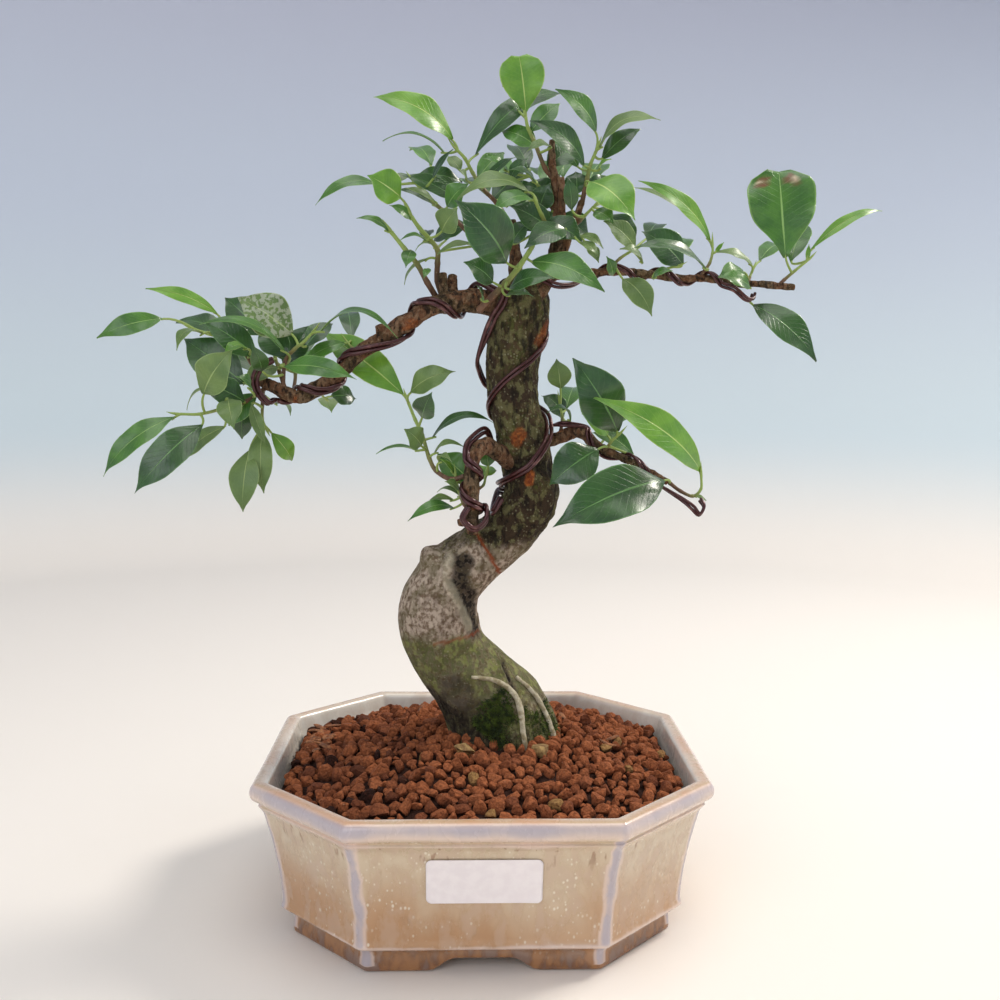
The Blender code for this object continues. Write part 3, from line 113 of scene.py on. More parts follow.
WIRES = {
    "wire_left": (1.7, [
        ("trunk", 0.622, -108, 0.5), ("trunk", 0.63, -80, 0.8), ("trunk", 0.665, 0, 0.8),
        ("trunk", 0.705, 60, 0.8), ("trunk", 0.74, 105, 0.8), ("trunk", 0.775, 180, 0.8),
        ("trunk", 0.80, 250, 0.9), ("trunk", 0.83, 285, 3), ("trunk", 0.87, 300, 1.5),
        ("trunk", 0.925, 322, 0.4), ("trunk", 0.955, 326, 1),
        (4, -9.5, 253), ("left_branch", 0.07, 80, 1.2), ("left_branch", 0.10, 180, 0.4),
        ("left_branch", 0.15, 280, 0.3), ("left_branch", 0.20, 350, 0), ("left_branch", 0.27, 420, 0),
        ("left_branch", 0.31, 510, 0), ("left_branch", 0.36, 630, 0), ("left_branch", 0.44, 690, 0),
        ("left_branch", 0.50, 730, 0), ("left_branch", 0.55, 800, 0), ("left_branch", 0.58, 900, 0),
        ("left_branch", 0.62, 1000, 0), ("left_branch", 0.68, 1060, 0), ("left_branch", 0.73, 1130, 0),
        ("left_branch", 0.76, 1220, 0), ("left_branch", 0.79, 1320, 0), ("left_branch", 0.83, 1370, 1),
        (-86, -11.5, 207.5), (-90, -12, 212), (-91, -12, 217.5), (-88, -12, 222.5), (-84, -12, 224.5),
    ]),
    "wire_low_left": (1.7, [
        (7, -10.5, 169.5), (3.5, -10, 164), ("trunk", 0.59, -110, 1.6), ("trunk", 0.61, -165, 0.3),
        ("trunk", 0.66, -175, 0), ("trunk", 0.70, -105, 1), (2, -7.5, 195.5), (-0.5, -11.5, 197),
        ("low_left_branch", 0.36, 80, 1.1), ("low_left_branch", 0.42, 62, 1),
        ("low_left_branch", 0.47, 40, 0.2), ("low_left_branch", 0.52, -40, 0),
        ("low_left_branch", 0.56, -120, 0), ("low_left_branch", 0.61, -200, 0),
        ("low_left_branch", 0.66, -270, 0), ("low_left_branch", 0.72, -330, 0),
        ("low_left_branch", 0.77, -400, 0), ("low_left_branch", 0.81, -470, 0),
        ("low_left_branch", 0.84, -530, 0.6), (0.6, -19, 167), (0.6, -23, 162), (-4, -25.5, 159),
        (-8.4, -25.5, 163),
        (-6.5, -25.5, 167.4),
    ]),
    "wire_low_right": (1.3, [
        ("trunk", 0.905, 165, 0), ("trunk", 0.89, 120, 0), ("trunk", 0.87, 80, 0), ("trunk", 0.83, 30, 0),
        ("trunk", 0.80, -20, 0), ("trunk", 0.775, -60, 0), ("trunk", 0.75, -110, 0),
        ("trunk", 0.728, -180, 0),
        ("trunk", 0.712, -232, 0.4), ("trunk", 0.718, -258, 3.2), (33, -1, 199.5),
        ("low_right_branch", 0.40, -70, 0), ("low_right_branch", 0.58, 60, 0),
        ("low_right_branch", 0.68, 160, 0), ("low_right_branch", 0.75, 260, 0),
        ("low_right_branch", 0.84, 360, 0), ("low_right_branch", 0.93, 450, 0.3),
        (80, -14.5, 170), (84, -16, 167), (87, -16, 164), (89, -15, 167), (88, -12.5, 169.5),
    ]),
    "wire_right": (1.3, [
        (12, -13, 258), (20, -12, 258.5), (28, -11, 255), (35, -6, 255.5), ("right_branch", 0.16, 60, 0.3),
        ("right_branch", 0.22, 170, 0), ("right_branch", 0.28, 265, 0), ("right_branch", 0.37, 360, 0),
        ("right_branch", 0.45, 540, 0), ("right_branch", 0.53, 720, 0), ("right_branch", 0.62, 900, 0),
        ("right_branch", 0.70, 1080, 0), ("right_branch", 0.72, 1115, 0.8), (101, -6, 254.5),
        (105.5, -5.5, 251),
        (108.5, -4, 250.5), (110, -1, 253),
    ]),
}


class Tone(Enum):
    """How old a leaf is, or which side of it shows."""

    YOUNG = "young"
    GREEN = "green"
    DARK = "dark"
    OLIVE = "olive"


class Outline(Enum):
    """A leaf's outline, as its half width at even steps from its foot to its tip."""

    OVAL = (0.05, 0.40, 0.71, 0.91, 1.0, 1.0, 0.93, 0.78, 0.53, 0.21, 0.0)
    SLENDER = (0.06, 0.38, 0.70, 0.92, 1.0, 0.94, 0.78, 0.55, 0.31, 0.12, 0.0)
    ROUND = (0.04, 0.40, 0.76, 0.96, 1.0, 0.99, 0.95, 0.85, 0.68, 0.42, 0.0)
    SPOON = (0.04, 0.22, 0.44, 0.64, 0.80, 0.92, 0.99, 1.0, 0.95, 0.80, 0.35)


@dataclass(frozen=True)
class Leaf:
    """One leaf: where its blade starts and ends, its width, how far its upper side turns from the sky (0 degrees)
    towards the front (90), how high its midrib arches as a share of its length, and its tone and outline."""

    base: tuple
    tip: tuple
    width: float
    face: float
    arch: float
    tone: Tone
    outline: Outline = Outline.OVAL


@dataclass(frozen=True)
class Shoot:
    """One twig and the stem that it grows from. Each row of leaves holds what Leaf takes, in its order."""

    name: str
    branch: str
    thick: float
    twig: list
    leaves: list


YOUNG, GREEN, DARK, OLIVE = Tone.YOUNG, Tone.GREEN, Tone.DARK, Tone.OLIVE
ROUND, SPOON, SLENDER = Outline.ROUND, Outline.SPOON, Outline.SLENDER
SHOOTS = [
    Shoot("left_far_shoot", "left_branch", 1.5, [
        (-87, -4, 215), (-94, -2, 223), (-101, 0, 232), (-112, 2, 235), (-118, 2, 237)
    ], [
        ((-107, -4, 243), (-133, -12, 252), 6, 65, 0.14, YOUNG),
        ((-130, 0, 241), (-154, -8, 233), 9, 75, 0.16, GREEN), ((-106, 12, 235), (-131, 24, 241), 11, 40, 0.1, DARK),
        ((-112, -8, 235), (-120, -18, 228), 7, 10, 0.3, OLIVE),
        ((-94, -12, 229), (-101, -22, 227), 6, 40, 0.2, YOUNG),
    ]),
    Shoot("left_crown_shoot", "left_branch", 1.6, [
        (-81, 2, 212), (-84, 4, 220), (-86, 6, 226), (-88, 8, 233)
    ], [
        ((-90, 9, 235), (-108, 14, 251), 15, 70, 0.08, DARK), ((-79, -12, 228), (-109, -24, 239), 7, 35, 0.18, GREEN),
        ((-100, 12, 215), (-127, 20, 234), 18, 75, 0.06, DARK), ((-96, 18, 219), (-112, 40, 232), 12, 30, 0.1, DARK),
        ((-78, 22, 220), (-69, 48, 229), 11, 30, 0.12, GREEN), ((-92, -2, 226), (-112, -6, 240), 12, 62, 0.12, DARK),
        ((-84, 0, 222), (-96, -10, 215), 9, 60, 0.12, OLIVE),
    ]),
    Shoot("left_back_shoot", "left_branch", 1.5, [(-79, 6, 210), (-79, 14, 219), (-82, 26, 227)], [
        ((-85, 30, 230), (-103, 52, 242), 11, 20, 0.12, GREEN), ((-80, 34, 225), (-78, 60, 239), 11, 10, 0.14, DARK),
        ((-81, 30, 220), (-65, 58, 220), 11, 25, 0.12, DARK), ((-84, 16, 222), (-70, 12, 240), 12, 60, 0.12, DARK),
        ((-80, 20, 224), (-92, 14, 244), 13, 62, 0.1, DARK),
    ]),
    Shoot("left_top_shoot", "left_branch", 1.5, [
        (-81, -6, 213), (-80, -6, 224), (-76, -7, 229), (-72, -8, 232), (-69, -9, 235)
    ], [
        ((-77, -6, 235), (-97, -12, 249), 18, 70, 0.1, OLIVE), ((-65, -12, 236), (-34, -20, 234), 6, 25, 0.3, GREEN),
        ((-79, -16, 222), (-50, -26, 218), 9, 60, 0.1, GREEN), ((-87, -18, 220), (-89, -26, 230), 7, 60, 0.15, DARK),
        ((-75, 2, 231), (-64, 12, 238), 7, 40, 0.15, DARK), ((-79, -2, 226), (-92, 4, 238), 12, 66, 0.1, DARK),
        ((-72, -4, 230), (-62, 4, 240), 9, 50, 0.14, DARK),
    ]),
    Shoot("left_low_shoot", "left_branch", 1.5, [
        (-89, -3, 213), (-96, -5, 208), (-105, -9, 205), (-113, -12, 203), (-120, -14, 203)
    ], [
        ((-122, -15, 202), (-148, -26, 180), 10, 55, 0.16, GREEN),
        ((-111, -16, 199), (-135, -28, 173), 15, 65, 0.14, DARK),
        ((-110, -18, 211), (-97, -26, 228), 15, 75, 0.12, OLIVE),
        ((-106, -4, 212), (-120, -6, 205), 3, 15, 0.3, OLIVE), ((-104, -8, 198), (-124, 0, 183), 8, 60, 0.12, OLIVE),
        ((-100, -20, 209), (-96, -30, 198), 10, 60, 0.2, OLIVE), ((-97, 0, 207), (-100, 4, 192), 9, 60, 0.1, DARK),
        ((-91, -22, 213), (-94, -32, 218), 6, 60, 0.2, GREEN), ((-96, -8, 208), (-112, -12, 216), 12, 62, 0.12, DARK),
        ((-92, -4, 211), (-104, -2, 198), 10, 60, 0.12, GREEN),
    ]),
    Shoot("left_hanging_shoot", "left_branch", 1.4, [
        (-90, 0, 213), (-90, -2, 207), (-90, -3, 201), (-89, -3, 198)
    ], [
        ((-93, -10, 207), (-87, -14, 191), 5, 60, 0.15, OLIVE), ((-90, -4, 196), (-89, -8, 171), 10, 60, 0.1, OLIVE),
        ((-87, 1, 195), (-80, 8, 183), 8, 60, 0.25, YOUNG), ((-95, -6, 188), (-97, -12, 164), 12, 55, 0.12, OLIVE),
        ((-87, 10, 207), (-82, 20, 202), 5, 30, 0.2, DARK),
    ]),
    Shoot("left_mid_shoot", "left_branch", 1.2, [(-67, -3, 214), (-67, 4, 211), (-66, 9, 209)], [
        ((-64, 12, 210), (-54, 18, 209), 10, 60, 0.1, DARK), ((-66, 14, 209), (-66, 30, 203), 9, 30, 0.1, GREEN),
    ]),
    Shoot("left_inner_shoot", "left_branch", 1.2, [(-51, 0, 228), (-54, 4, 230), (-56, 6, 232)], [
        ((-57, 6, 232), (-74, 0, 224), 7, 55, 0.15, GREEN), ((-55, 12, 234), (-60, 40, 247), 9, 20, 0.12, DARK),
    ]),
    Shoot("left_rising_twig", "left_branch", 2.2, [
        (-18, -1, 248), (-23, -5, 256), (-27, -6, 263), (-32, -8, 269), (-37, -9, 275)
    ], [
        ((-38, -10, 275), (-50, -14, 280), 4, 50, 0.2, GREEN), ((-29, -10, 268), (-31, -16, 261), 6, 60, 0.15, GREEN),
        ((-22, -10, 261), (-24, -16, 257), 3, 60, 0.1, GREEN),
    ]),
    Shoot("left_leafy_twig", "left_branch", 2.2, [
        (-16, 2, 248), (-19, 0, 257), (-19, -2, 264), (-19, -3, 269), (-22, -5, 273), (-26, -7, 277),
        (-29, -9, 281)
    ], [
        ((-33, -12, 288), (-45, -20, 295), 14, 72, 0.08, YOUNG),
        ((-29, -9, 280), (-37, -14, 285), 5, 55, 0.12, GREEN), ((-23, -8, 272), (-33, -14, 272), 4, 30, 0.2, GREEN),
        ((-24, 2, 274), (-23, 14, 279), 6, 30, 0.1, DARK), ((-17, -14, 275), (-11, -20, 283), 11, 70, 0.12, OLIVE),
        ((-19, -4, 270), (-28, -2, 269), 3, 20, 0.3, GREEN), ((-3, -2, 271), (-19, -8, 267), 5, 30, 0.16, OLIVE),
        ((-16, 6, 274), (-12, 30, 280), 8, 20, 0.1, GREEN), ((-23, -2, 266), (-33, 2, 256), 3, 30, 0.15, OLIVE),
    ]),
    Shoot("apex_left_shoot", "apex_left_branch", 1.6, [
        (-3, 4, 273), (-13, 3, 283), (-19, 2, 287), (-25, 2, 293), (-28, 2, 296)
    ], [
        ((-27, 5, 300), (-9, 8, 298), 8, 65, 0.12, DARK), ((-41, 0, 294), (-67, -8, 286), 6, 50, 0.22, GREEN),
        ((-20, -4, 288), (-31, -12, 292), 4, 55, 0.1, OLIVE), ((-20, 8, 288), (-37, 14, 296), 3, 50, 0.1, DARK),
        ((-21, -2, 297), (-13, -6, 308), 4, 40, 0.1, DARK), ((-15, -10, 285), (-7, -16, 293), 10, 65, 0.12, GREEN),
        ((-22, 12, 305), (-32, 36, 316), 10, 20, 0.12, GREEN), ((-27, 16, 300), (-40, 40, 301), 9, 10, 0.12, DARK),
        ((-11, 6, 290), (-33, 2, 299), 8, 65, 0.12, DARK), ((-6, 6, 280), (-22, 14, 274), 10, 55, 0.12, DARK),
    ]),
    Shoot("apex_back_left_shoot", "apex_left_branch", 1.5, [(11, 8, 278), (8, 20, 288), (5, 34, 296)], [
        ((2, 36, 297), (-11, 58, 307), 12, 20, 0.12, DARK), ((6, 40, 301), (8, 62, 318), 11, 10, 0.12, GREEN),
        ((10, 34, 292), (22, 60, 304), 11, 20, 0.12, GREEN), ((9, 18, 287), (-6, 24, 278), 13, 62, 0.1, DARK),
        ((7, 26, 292), (22, 24, 300), 13, 62, 0.1, DARK),
    ]),
    Shoot("apex_rising_shoot", "apex_left_branch", 1.7, [
        (11, 4, 280), (5, 1, 288), (-1, 0, 294), (-5, 0, 300), (-8, -2, 305), (-11, -3, 308)
    ], [
        ((-13, -4, 312), (-43, -14, 326), 13, 60, 0.18, YOUNG), ((-16, 2, 308), (-41, 2, 313), 3, 20, 0.2, GREEN),
        ((-4, 6, 308), (35, 20, 336), 11, 50, 0.2, DARK), ((0, -8, 294), (11, -14, 304), 5, 50, 0.1, DARK),
        ((-10, 2, 301), (-15, 8, 308), 6, 40, 0.1, OLIVE), ((-7, -10, 295), (-10, -16, 298), 5, 60, 0.1, OLIVE),
        ((3, 2, 290), (16, 6, 302), 11, 62, 0.12, DARK), ((-3, 2, 298), (8, 8, 310), 9, 60, 0.12, GREEN),
    ]),
    Shoot("apex_front_shoot", "trunk", 2.6, [
        (-2, -11, 245), (3, -14, 250), (8, -17, 255), (13, -19, 261), (17, -21, 267)
    ], [
        ((8, -26, 262), (-11, -40, 283), 20, 70, 0.14, DARK), ((18, -20, 263), (45, -32, 252), 13, 62, 0.16, GREEN),
        ((9, -26, 252), (25, -36, 256), 9, 60, 0.14, DARK), ((8, -20, 250), (18, -26, 250), 5, 45, 0.16, DARK),
        ((3, -21, 255), (-8, -28, 262), 11, 65, 0.12, DARK), ((-1, -18, 248), (-3, -27, 253), 4, 60, 0.1, DARK),
    ]),
    Shoot("apex_centre_shoot", "apex_branch", 1.8, [
        (27, 1, 299), (24, -1, 302), (20, -2, 311), (17, -3, 317), (16, -3, 321)
    ], [
        ((16, -3, 323), (13, -6, 344), 18, 88, 0.08, YOUNG, SPOON), ((14, 1, 324), (7, 4, 335), 4, 30, 0.1, GREEN),
        ((26, -8, 309), (16, -14, 306), 5, 45, 0.2, OLIVE), ((25, 2, 303), (38, 8, 312), 11, 62, 0.12, DARK),
        ((21, 0, 310), (6, 6, 318), 10, 62, 0.12, GREEN), ((18, -1, 316), (30, 2, 328), 9, 60, 0.14, GREEN),
    ]),
    Shoot("apex_right_shoot", "apex_right_branch", 1.8, [
        (39, -1, 288), (40, -2, 293), (41, -2, 298), (42, -3, 303), (44, -4, 308)
    ], [
        ((44, -4, 316), (27, -12, 330), 10, 62, 0.16, GREEN), ((39, -8, 302), (17, -16, 317), 11, 58, 0.16, DARK),
        ((45, -6, 309), (67, -16, 319), 10, 40, 0.22, OLIVE), ((47, 0, 306), (62, -2, 318), 8, 65, 0.14, DARK),
        ((41, -12, 295), (57, -26, 279), 18, 60, 0.16, YOUNG), ((45, -2, 301), (50, -6, 305), 3, 40, 0.2, YOUNG),
        ((37, 0, 292), (37, 4, 302), 10, 60, 0.1, DARK), ((43, 14, 298), (53, 40, 311), 11, 20, 0.12, GREEN),
        ((38, 6, 304), (28, 14, 316), 10, 60, 0.14, GREEN), ((40, -2, 296), (54, 4, 292), 12, 62, 0.12, DARK),
    ]),
    Shoot("apex_low_shoot", "apex_branch", 1.8, [
        (29, -1, 275), (25, -7, 278), (22, -13, 282), (20, -17, 285)
    ], [
        ((18, -19, 287), (2, -27, 280), 9, 45, 0.22, GREEN), ((17, -12, 291), (-11, -20, 287), 10, 45, 0.22, OLIVE),
        ((32, -14, 276), (15, -24, 268), 11, 60, 0.14, DARK), ((11, -4, 272), (18, -10, 280), 8, 60, 0.12, DARK),
        ((27, -4, 277), (10, -8, 286), 13, 66, 0.1, DARK), ((24, -8, 280), (38, -14, 272), 12, 62, 0.12, DARK),
    ]),
    Shoot("apex_inner_shoot", "apex_branch", 1.5, [
        (29, 3, 285), (25, 3, 290), (22, 2, 295), (18, 0, 299)
    ], [
        ((22, 2, 286), (26, -2, 296), 10, 60, 0.1, DARK), ((10, -4, 297), (17, -6, 305), 6, 50, 0.16, DARK),
        ((20, -8, 295), (9, -14, 299), 5, 40, 0.2, DARK), ((9, -4, 300), (-1, -10, 304), 5, 50, 0.16, GREEN),
        ((18, 12, 304), (11, 34, 318), 10, 20, 0.12, DARK), ((25, 18, 297), (34, 44, 314), 11, 10, 0.12, GREEN),
        ((27, 0, 285), (14, -6, 276), 12, 64, 0.12, DARK),
    ]),
    Shoot("apex_back_shoot", "apex_branch", 1.6, [
        (30, 4, 280), (33, 18, 288), (35, 34, 295), (35, 46, 301)
    ], [
        ((38, 44, 298), (56, 64, 306), 12, 20, 0.12, GREEN), ((33, 50, 304), (22, 74, 315), 13, 15, 0.12, DARK),
        ((36, 52, 308), (39, 76, 326), 12, 5, 0.12, GREEN), ((33, 36, 293), (17, 60, 295), 11, 20, 0.12, DARK),
        ((30, 8, 284), (44, 12, 276), 13, 62, 0.12, DARK), ((30, 10, 290), (16, 14, 298), 13, 62, 0.12, DARK),
    ]),
    Shoot("right_crown_shoot", "apex_right_branch", 1.5, [
        (35, -5, 278), (38, -5, 281), (40, -6, 283), (43, -7, 286)
    ], [
        ((43, -10, 284), (50, -16, 279), 8, 60, 0.14, GREEN), ((37, -12, 274), (46, -18, 269), 5, 45, 0.2, OLIVE),
        ((34, -12, 284), (32, -16, 296), 6, 60, 0.1, DARK), ((37, -17, 271), (44, -20, 266), 5, 45, 0.16, OLIVE),
        ((48, 8, 290), (60, 30, 297), 11, 20, 0.12, DARK), ((41, -8, 271), (45, -12, 264), 5, 55, 0.16, OLIVE),
        ((50, 0, 284), (62, 4, 272), 12, 62, 0.12, DARK),
    ]),
    Shoot("right_near_shoot", "right_branch", 1.3, [
        (49, 0, 261), (51, -6, 263), (54, -8, 266), (57, -9, 268), (59, -9, 269)
    ], [
        ((60, -9, 270), (47, -14, 280), 10, 60, 0.1, OLIVE), ((51, -9, 259), (48, -14, 266), 5, 60, 0.12, GREEN),
        ((55, -9, 258), (66, -16, 243), 11, 60, 0.16, OLIVE), ((67, 4, 276), (77, 26, 283), 9, 20, 0.12, DARK),
        ((63, -10, 264), (53, -16, 269), 7, 40, 0.2, OLIVE),
    ]),
    Shoot("right_mid_shoot", "right_branch", 1.3, [
        (67, -2, 260), (69, -6, 261), (72, -7, 262), (76, -7, 263)
    ], [
        ((80, -5, 264), (63, -8, 277), 15, 65, 0.1, DARK), ((67, -9, 258), (74, -14, 261), 5, 45, 0.2, GREEN),
        ((78, 10, 267), (90, 34, 279), 11, 20, 0.12, GREEN),
    ]),
    Shoot("right_bright_shoot", "right_branch", 1.3, [
        (88, -2, 260), (89, -4, 262), (91, -4, 265), (92, -4, 269), (92, -4, 271)
    ], [
        ((91, -3, 274), (61, -14, 296), 8, 60, 0.14, YOUNG), ((85, 10, 286), (62, 14, 298), 4, 40, 0.1, OLIVE),
        ((88, -12, 262), (57, -24, 269), 8, 40, 0.14, DARK), ((93, -4, 269), (96, -6, 273), 2, 50, 0.05, YOUNG),
    ]),
    Shoot("right_upper_shoot", "right_branch", 1.3, [(108, 0, 257), (109, 2, 260), (110, 3, 262)], [
        ((110, 2, 265), (94, -2, 270), 6, 40, 0.12, OLIVE), ((105, -3, 262), (93, -12, 259), 8, 55, 0.14, GREEN),
        ((116, 14, 268), (135, 40, 276), 10, 20, 0.12, GREEN),
    ]),
    Shoot("right_low_shoot", "right_branch", 1.3, [
        (103, 2, 257), (105, 4, 255), (107, 4, 253), (109, 4, 251)
    ], [
        ((111, 3, 249), (135, -8, 226), 14, 62, 0.14, DARK), ((107, -8, 255), (93, -14, 259), 8, 55, 0.14, GREEN),
    ]),
    Shoot("right_end_shoot", "right_branch", 1.4, [
        (121, 1, 257), (123, 1, 259), (128, 3, 263), (133, 4, 267)
    ], [
        ((123, 0, 268), (121, 6, 304), 29, 88, 0.04, GREEN, SPOON),
        ((135, 5, 272), (166, 10, 290), 5, 50, 0.12, YOUNG), ((133, 4, 267), (134, 5, 274), 2, 50, 0.05, YOUNG),
        ((130, 16, 268), (142, 36, 286), 11, 10, 0.12, GREEN),
    ]),
    Shoot("low_right_inner_shoot", "low_right_branch", 1.4, [(32, 5, 195), (33, 6, 201), (32, 6, 207)], [
        ((32, 5, 214), (30, 2, 226), 10, 86, 0.1, OLIVE), ((34, 13, 201), (25, 16, 211), 9, 45, 0.26, DARK),
        ((36, 0, 201), (26, -8, 205), 4, 30, 0.3, DARK), ((35, 12, 205), (41, 40, 214), 10, 10, 0.12, GREEN),
    ]),
    Shoot("low_right_shoot", "low_right_branch", 1.4, [
        (47, -3, 190), (50, -6, 190), (52, -8, 193), (54, -9, 195)
    ], [
        ((54, -10, 197), (35, -20, 226), 20, 70, 0.12, DARK), ((51, -4, 195), (40, -8, 204), 8, 62, 0.14, YOUNG),
        ((62, -2, 187), (45, 4, 196), 8, 50, 0.2, GREEN), ((46, -12, 190), (26, -18, 176), 17, 65, 0.12, DARK),
        ((55, 10, 197), (68, 36, 205), 11, 10, 0.12, GREEN),
    ]),
    Shoot("low_right_end_shoot", "low_right_branch", 1.4, [
        (76, -9, 176), (80, -11, 173), (85, -12, 171), (88, -13, 174), (88, -13, 179)
    ], [
        ((88, -12, 181), (43, -26, 211), 15, 62, 0.16, YOUNG), ((72, -18, 178), (26, -40, 162), 22, 62, 0.12, DARK),
        ((88, -8, 182), (79, -4, 199), 4, 40, 0.08, OLIVE), ((86, -8, 171), (91, -10, 169), 2, 40, 0.1, OLIVE),
    ]),
    Shoot("hanging_shoot", "low_left_branch", 1.8, [
        (-6, -19, 180), (-13, -18, 178), (-19, -15, 181), (-22, -12, 186), (-25, -7, 195),
        (-28, -3, 201), (-31, 0, 208)
    ], [
        ((-33, 2, 211), (-68, 18, 237), 15, 65, 0.12, YOUNG), ((-30, -5, 212), (-12, -10, 221), 11, 60, 0.16, OLIVE),
        ((-25, -9, 202), (-21, -18, 212), 10, 70, 0.12, DARK),
        ((-25, -15, 191), (-31, -22, 198), 10, 60, 0.12, OLIVE), ((-21, -8, 194), (4, -6, 201), 6, 30, 0.24, DARK),
        ((-20, -13, 188), (-8, -16, 191), 4, 30, 0.3, OLIVE), ((-26, -11, 189), (-43, -15, 188), 3, 20, 0.14, GREEN),
        ((-18, -20, 185), (-13, -26, 186), 4, 30, 0.4, OLIVE),
    ]),
    Shoot("low_left_side_shoot", "low_left_branch", 1.3, [
        (-5, -19, 165), (-8, -18, 168), (-10, -17, 173), (-11, -16, 178)
    ], [
        ((-12, -14, 166), (-30, -22, 162), 6, 45, 0.26, GREEN),
        ((-12, -12, 169), (-23, -10, 167), 4, 35, 0.26, OLIVE), ((-9, -10, 170), (-19, -6, 172), 3, 30, 0.3, OLIVE),
        ((-5, -9, 176), (-19, -2, 187), 12, 65, 0.12, GREEN), ((-12, -14, 180), (-17, -18, 186), 3, 40, 0.1, YOUNG),
        ((-10, -20, 174), (-15, -26, 178), 5, 50, 0.1, OLIVE),
    ]),
    Shoot("low_left_inner_shoot", "low_left_branch", 1.3, [
        (-5, -20, 173), (-2, -15, 174), (0, -9, 175), (1, -4, 178)
    ], [
        ((0, 5, 177), (2, 13, 181), 9, 60, 0.12, YOUNG), ((2, -4, 182), (1, -4, 188), 6, 60, 0.1, GREEN),
    ]),
]


# ---------------------------------------------------------------- space, noise and curves


class Place:
    """Turns the design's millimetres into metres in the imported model's frame."""

    def __init__(self) -> None:
        """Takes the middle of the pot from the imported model."""
        low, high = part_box("pot")
        self.middle = np.array([(low.x + high.x) / 2, (low.y + high.y) / 2, low.z])

    def metres(self, points: Array) -> Array:
        """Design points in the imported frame.

        Args:
            points: an array of (x, y, z) rows in millimetres.

        Returns:
            The same rows in metres.
        """
        return np.asarray(points, float) * MM + self.middle

    def vector(self, x: float, y: float, z: float) -> Vector:
        """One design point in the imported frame, as a vector."""
        return Vector(self.metres(np.array([x, y, z])))


class Noise:
    """A seeded field of smooth random values between -1 and 1."""

    def __init__(self, seed: int, cells: int = 32) -> None:
        """Draws the lattice of values.

        Args:
            seed: the start of the random draws.
            cells: the side of the lattice that repeats.
        """
        self.lattice = np.random.default_rng(seed).uniform(-1, 1, (cells, cells, cells))
        self.cells = cells

    def at(self, points: Array, size: float | tuple) -> Array:
        """The field's value at each point.

        Args:
            points: rows of (x, y, z).
            size: how wide a bump is, in millimetres, the same or one for each direction.

        Returns:
            One value for each row.
        """
        scaled = points / np.asarray(size, float)
        cell = np.floor(scaled).astype(int)
        part = scaled - cell
        part = part * part * (3 - 2 * part)
        total = np.zeros(len(points))
        for corner in range(8):
            step = np.array([(corner >> k) & 1 for k in range(3)])
            weight = np.prod(np.where(step, part, 1 - part), axis=1)
            i, j, k = ((cell + step) % self.cells).T
            total += weight * self.lattice[i, j, k]
        return total

    def layered(self, points: Array, size: float | tuple, layers: int = 4) -> Array:
        """The sum of several fields, each half as wide and half as strong as the one before.

        Args:
            points: rows of (x, y, z).
            size: the widest field's bump, in millimetres.
            layers: how many fields are summed.

        Returns:
            One value for each row.
        """
        size = np.asarray(size, float)
        total = np.zeros(len(points))
        for k in range(layers):
            total += self.at(points + 17.3 * k, size / 2**k) / 2**k
        return total


def smooth_curve(points: list, steps: int) -> Array:
    """A smooth curve through every point.

    Args:
        points: rows of the same number of values, such as (x, y, z, radius).
        steps: how many pieces each run between two points is cut into.

    Returns:
        The finer rows.
    """
    rows = np.array(points, float)
    if len(rows) < 3:
        shares = np.linspace(0, 1, steps + 1)[:, None]
        return rows[0] * (1 - shares) + rows[-1] * shares
    ends = np.vstack([2 * rows[0] - rows[1], rows, 2 * rows[-1] - rows[-2]])
    fine = []
    for p, q, r, s in zip(ends, ends[1:], ends[2:], ends[3:]):
        for t in np.arange(steps) / steps:
            cubic = (3 * q - p - 3 * r + s) * t**3
            fine.append(0.5 * (2 * q + (r - p) * t + (2 * p - 5 * q + 4 * r - s) * t**2 + cubic))
    return np.array([*fine, rows[-1]])


def frames_along(path: Array, carried: bool = True) -> tuple[Array, Array, Array]:
    """Directions along a path: along it, towards the front and across.

    Args:
        path: rows of (x, y, z).
        carried: whether the front is carried from point to point without twist, or found anew at each.

    Returns:
        The tangents, the fronts and the directions across, one row each for every point.
    """
    tangents = np.gradient(path, axis=0)
    tangents /= np.linalg.norm(tangents, axis=1)[:, None]
    forward = np.array([0.0, -1.0, 0.0])
    front = forward if abs(tangents[0, 1]) < 0.95 else np.array([0.0, 0.0, 1.0])
    fronts = []
    for tangent in tangents:
        if not carried:
            front = forward if abs(tangent[1]) < 0.95 else np.array([0.0, 0.0, 1.0])
        front = front - tangent * (front @ tangent)
        front = front / np.linalg.norm(front)
        fronts.append(front)
    fronts = np.array(fronts)
    return tangents, fronts, np.cross(tangents, fronts)


def on_stem(points: list, share: float, angle: float, lift: float, size: float) -> Array:
    """The middle of something that lies on a stem's skin.

    Args:
        points: the stem's (x, y, z, radius) points.
        share: how far along the stem, from 0 to 1.
        angle: degrees round it from the front.
        lift: how far it stands off, beyond the gap.
        size: its own thickness.

    Returns:
        Its (x, y, z).
    """
    rows = np.array(points, float)
    _, fronts, across = frames_along(rows[:, :3], carried=False)
    place = share * (len(rows) - 1)
    low = min(int(place), len(rows) - 2)
    turn = math.radians(angle)
    ends = []
    for k in (low, low + 1):
        reach = rows[k, 3] + size / 2 + lift
        ends.append(rows[k, :3] + (fronts[k] * math.cos(turn) + across[k] * math.sin(turn)) * reach)
    return ends[0] + (ends[1] - ends[0]) * (place - low)


def srgb(red: int, green: int, blue: int) -> Colour:
    """A colour given as a screen shows it, as the linear values that a shader takes."""
    values = [channel / 255 for channel in (red, green, blue)]
    return tuple(v / 12.92 if v <= 0.04045 else ((v + 0.055) / 1.055) ** 2.4 for v in values)


